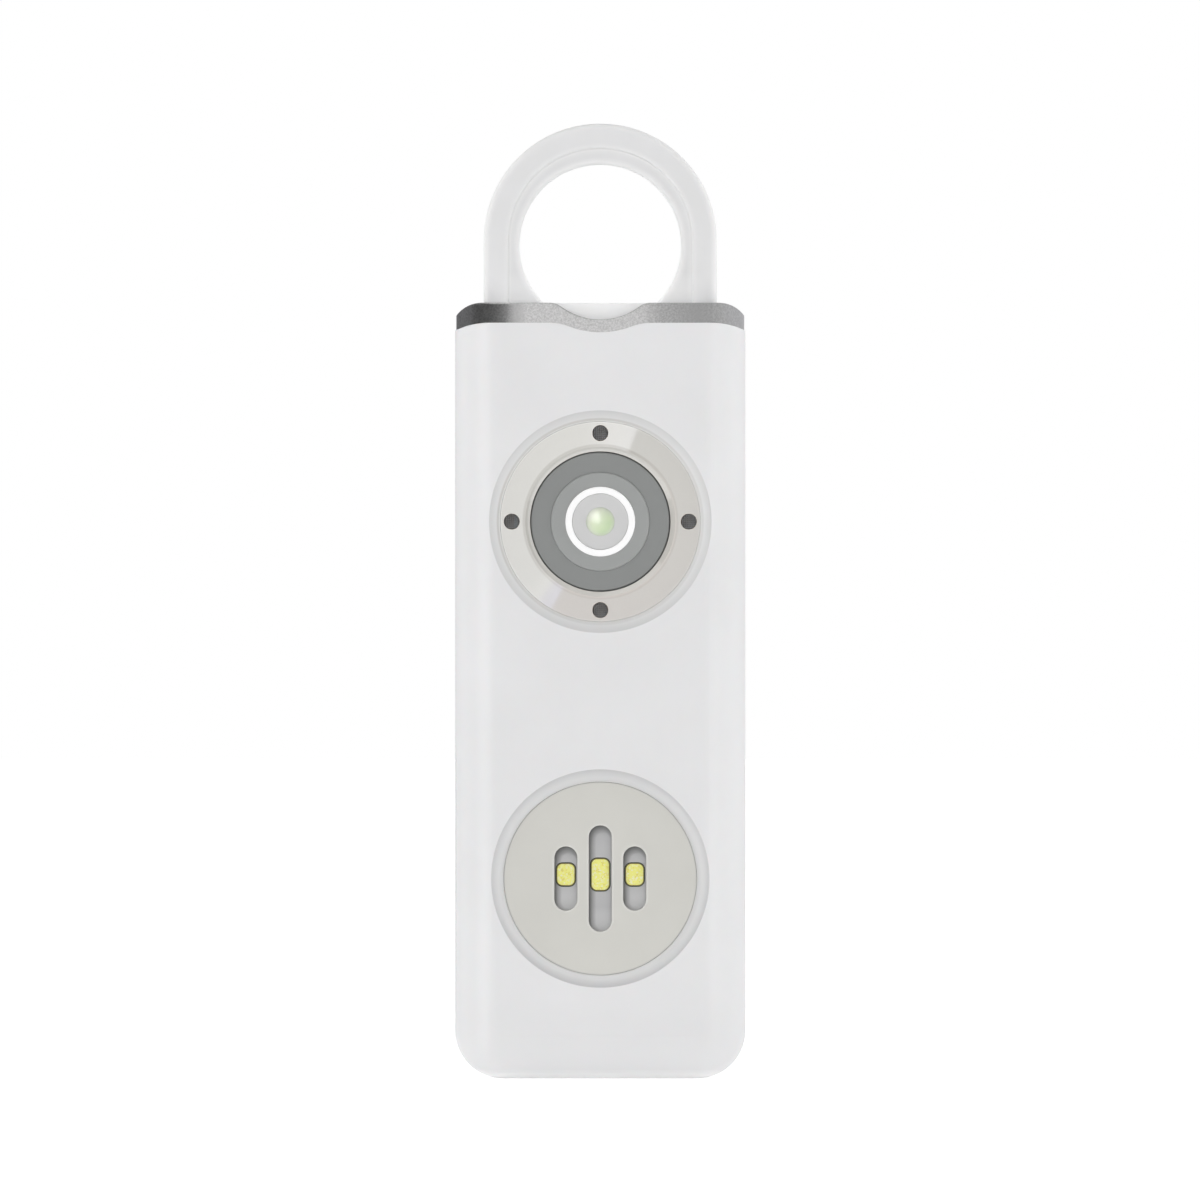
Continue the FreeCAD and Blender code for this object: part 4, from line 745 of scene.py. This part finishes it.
def seen_share(tree):
    """1 for rays from the camera and for those that a glossy or clear surface sends on."""
    path = tree.nodes.new("ShaderNodeLightPath")
    total = path.outputs["Is Camera Ray"]
    for output in ("Is Glossy Ray", "Is Transmission Ray"):
        adder = tree.nodes.new("ShaderNodeMath")
        adder.operation = "ADD"
        adder.use_clamp = True
        tree.links.new(total, adder.inputs[0])
        tree.links.new(path.outputs[output], adder.inputs[1])
        total = adder.outputs[0]
    return total


def lay_floor():
    """A pale floor that looks white to the camera, brighter with the distance, and gives a little light."""
    floor = stage_plane("floor", quad(FLOOR_SIZE, FLOOR_SIZE))
    paper = bpy.data.materials.new("floor_paper")
    paper.use_nodes = True
    tree = paper.node_tree
    shader = tree.nodes["Principled BSDF"]
    shader.inputs["Base Color"].default_value = srgb(FLOOR_COLOUR)
    shader.inputs["Roughness"].default_value = 0.9
    shader.inputs["Specular IOR Level"].default_value = 0.0
    shader.inputs["Emission Color"].default_value = (1, 1, 1, 1)
    away = tree.nodes.new("ShaderNodeVectorMath")
    away.operation = "LENGTH"
    tree.links.new(tree.nodes.new("ShaderNodeTexCoord").outputs["Object"], away.inputs[0])
    seen_glow = tree.nodes.new("ShaderNodeMapRange")
    for socket, number in zip(seen_glow.inputs[1:], (NEAR_REACH, FAR_REACH, NEAR_GLOW, FAR_GLOW)):
        socket.default_value = number
    tree.links.new(away.outputs["Value"], seen_glow.inputs["Value"])
    glow = tree.nodes.new("ShaderNodeMapRange")
    glow.inputs["To Min"].default_value = FLOOR_LIGHT
    tree.links.new(seen_glow.outputs["Result"], glow.inputs["To Max"])
    tree.links.new(seen_share(tree), glow.inputs["Value"])
    tree.links.new(glow.outputs["Result"], shader.inputs["Emission Strength"])
    floor.data.materials.append(paper)


def light_world():
    """A world that is white to the camera and gives soft light from all sides."""
    world = bpy.data.worlds.new("studio")
    bpy.context.scene.world = world
    world.use_nodes = True
    tree = world.node_tree
    backdrop = tree.nodes["Background"]
    backdrop.inputs["Color"].default_value = (1, 1, 1, 1)
    level = tree.nodes.new("ShaderNodeMapRange")
    level.inputs["To Min"].default_value = WORLD_LIGHT
    level.inputs["To Max"].default_value = 1.0
    tree.links.new(seen_share(tree), level.inputs["Value"])
    tree.links.new(level.outputs["Result"], backdrop.inputs["Strength"])


def lamp(name, place, target, width, height, watts):
    """A rectangular lamp that looks at a target."""
    light = bpy.data.lights.new(name, "AREA")
    light.shape = "RECTANGLE"
    light.size, light.size_y = width, height
    light.energy = watts
    thing = bpy.data.objects.new(name, light)
    bpy.context.scene.collection.objects.link(thing)
    look(thing, place, target)
    thing.visible_camera = False
    return thing


def light_only(thing, *receivers):
    """Keeps a lamp's light to some CAD nodes."""
    lit = bpy.data.collections.new(thing.name + "_receivers")
    for receiver in receivers:
        lit.objects.link(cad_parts[receiver])
    thing.light_linking.receiver_collection = lit


def softbox(name, place, width, height, watts):
    """A lamp that looks at the middle of the object. Reflections see the cards instead."""
    lamp(name, place, (0, 0, FRAME_MIDDLE_Z), width, height, watts).visible_glossy = False


def glint(name, place, width, height, brightness, *receivers):
    """A lamp that only the reflections on some nodes see. White paper has a brightness of 1."""
    thing = lamp(name, place, (0, 0, FRAME_MIDDLE_Z), width, height, brightness * math.pi * width * height)
    thing.visible_diffuse = False
    thing.visible_transmission = False
    light_only(thing, *receivers)
    thing.light_linking.blocker_collection = thing.light_linking.receiver_collection


def card(name, place, target, shape, colour, strength):
    """Puts up a glowing card that only reflections see, and returns its node tree and emission node."""
    plane = stage_plane(name, shape)
    look(plane, place, target)
    plane.visible_camera = False
    plane.visible_diffuse = False
    plane.visible_transmission = False
    plane.visible_shadow = False
    plane.visible_volume_scatter = False
    material = bpy.data.materials.new(name + "_glow")
    material.use_nodes = True
    nodes = material.node_tree.nodes
    nodes.remove(nodes["Principled BSDF"])
    emission = nodes.new("ShaderNodeEmission")
    emission.inputs["Color"].default_value = srgb(colour)
    emission.inputs["Strength"].default_value = strength
    material.node_tree.links.new(emission.outputs[0], nodes["Material Output"].inputs["Surface"])
    plane.data.materials.append(material)
    return material.node_tree, emission


def around(distance, left, up):
    """A place at a distance from the middle, turned left and up from the front in degrees."""
    side, rise = math.radians(left), math.radians(up)
    return (-distance * math.sin(side) * math.cos(rise), -distance * math.cos(side) * math.cos(rise),
            FRAME_MIDDLE_Z + distance * math.sin(rise))


def light_ring_foot():
    """Light on the pull ring alone, as from the cap's bright slot."""
    ring_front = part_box("pull_ring")[0].y
    strip = lamp("foot_light", (0, ring_front - FOOT_LIGHT_REACH, FOOT_LIGHT_Z), (0, 0, FOOT_LIGHT_Z),
                 FOOT_LIGHT_WIDTH, FOOT_LIGHT_HEIGHT, FOOT_LIGHT_WATTS)
    strip.visible_glossy = False
    light_only(strip, "pull_ring")


def spin_card():
    """The round card that the siren bezel mirrors."""
    tree, emission = card("spun_card", (0, -SPUN_CARD_DISTANCE, BEZEL_Z), (0, 0, BEZEL_Z),
                          flat_ring(SPUN_CARD_INNER, SPUN_CARD_OUTER, SPUN_CARD_PARTS), "FFFFFF", SPUN_PEAK)
    turn = tree.nodes.new("ShaderNodeTexGradient")
    turn.gradient_type = "RADIAL"
    tree.links.new(tree.nodes.new("ShaderNodeTexCoord").outputs["Object"], turn.inputs[0])
    ramp = tree.nodes.new("ShaderNodeValToRGB")
    for place, level in SPUN_LEVELS[1:-1]:
        ramp.color_ramp.elements.new(place)
    for element, (place, level) in zip(ramp.color_ramp.elements, SPUN_LEVELS):
        element.position = place
        element.color = (*[part / SPUN_PEAK for part in level], 1.0)
    tree.links.new(turn.outputs["Fac"], ramp.inputs[0])
    tree.links.new(ramp.outputs["Color"], emission.inputs["Color"])


def place_camera():
    """A camera straight in front, whose frame is the photo's."""
    camera = bpy.data.objects.new("camera", bpy.data.cameras.new("camera"))
    bpy.context.scene.collection.objects.link(camera)
    camera.data.sensor_width = SENSOR_WIDTH
    camera.data.lens = SENSOR_WIDTH * CAMERA_DISTANCE / FRAME_WIDTH
    look(camera, (FRAME_MIDDLE_X, FRONT_Y - CAMERA_DISTANCE, FRAME_MIDDLE_Z),
         (FRAME_MIDDLE_X, FRONT_Y, FRAME_MIDDLE_Z))
    bpy.context.scene.camera = camera


# The stage around the object
lay_floor()
light_world()

softbox("key_left", around(0.9, left=10, up=30), width=0.15, height=0.15, watts=1.3)
softbox("front_fill", around(1.35, left=0, up=3), width=0.7, height=0.5, watts=2.25)
for name, left in (("side_left", 81), ("side_right", -81)):
    softbox(name, around(0.9, left, up=8), width=0.3, height=0.8, watts=2.8)
for name, left in (("back_left", 118), ("back_right", -118)):
    softbox(name, around(1.0, left, up=20), width=0.4, height=0.6, watts=2.1)
softbox("above", (0, -0.1, 0.95), width=0.6, height=0.4, watts=1.2)
light_ring_foot()

for name, left, up, width, height, colour in (
        ("dark_card_left", 62, 8, 0.47, 0.17, "464646"),
        ("dim_card_left", 135, 20, 0.29, 0.5, "7C7C7E"),
        ("grey_card_right", -56, 20, 0.44, 0.5, "CACACA"),
        ("dim_card_right", -130, 20, 0.33, 0.5, "D0D0D2")):
    card(name, around(CARD_DISTANCE, left, up), (0, 0, FRAME_MIDDLE_Z), quad(width, height), colour, 1.0)

for name, left, brightness in (("edge_glint_left", 38, 8.0), ("edge_glint_right", -38, 7.0)):
    glint(name, around(EDGE_GLINT_DISTANCE, left, up=0), EDGE_GLINT_WIDTH, EDGE_GLINT_HEIGHT, brightness,
          "front_shell", "rear_shell", "battery_cover")
glint("dome_glint", around(DOME_GLINT_DISTANCE, left=20, up=15), DOME_GLINT_WIDTH, DOME_GLINT_WIDTH, 6.0,
      "button_lens")
spin_card()

place_camera()
bpy.context.scene.view_settings.view_transform = "Standard"
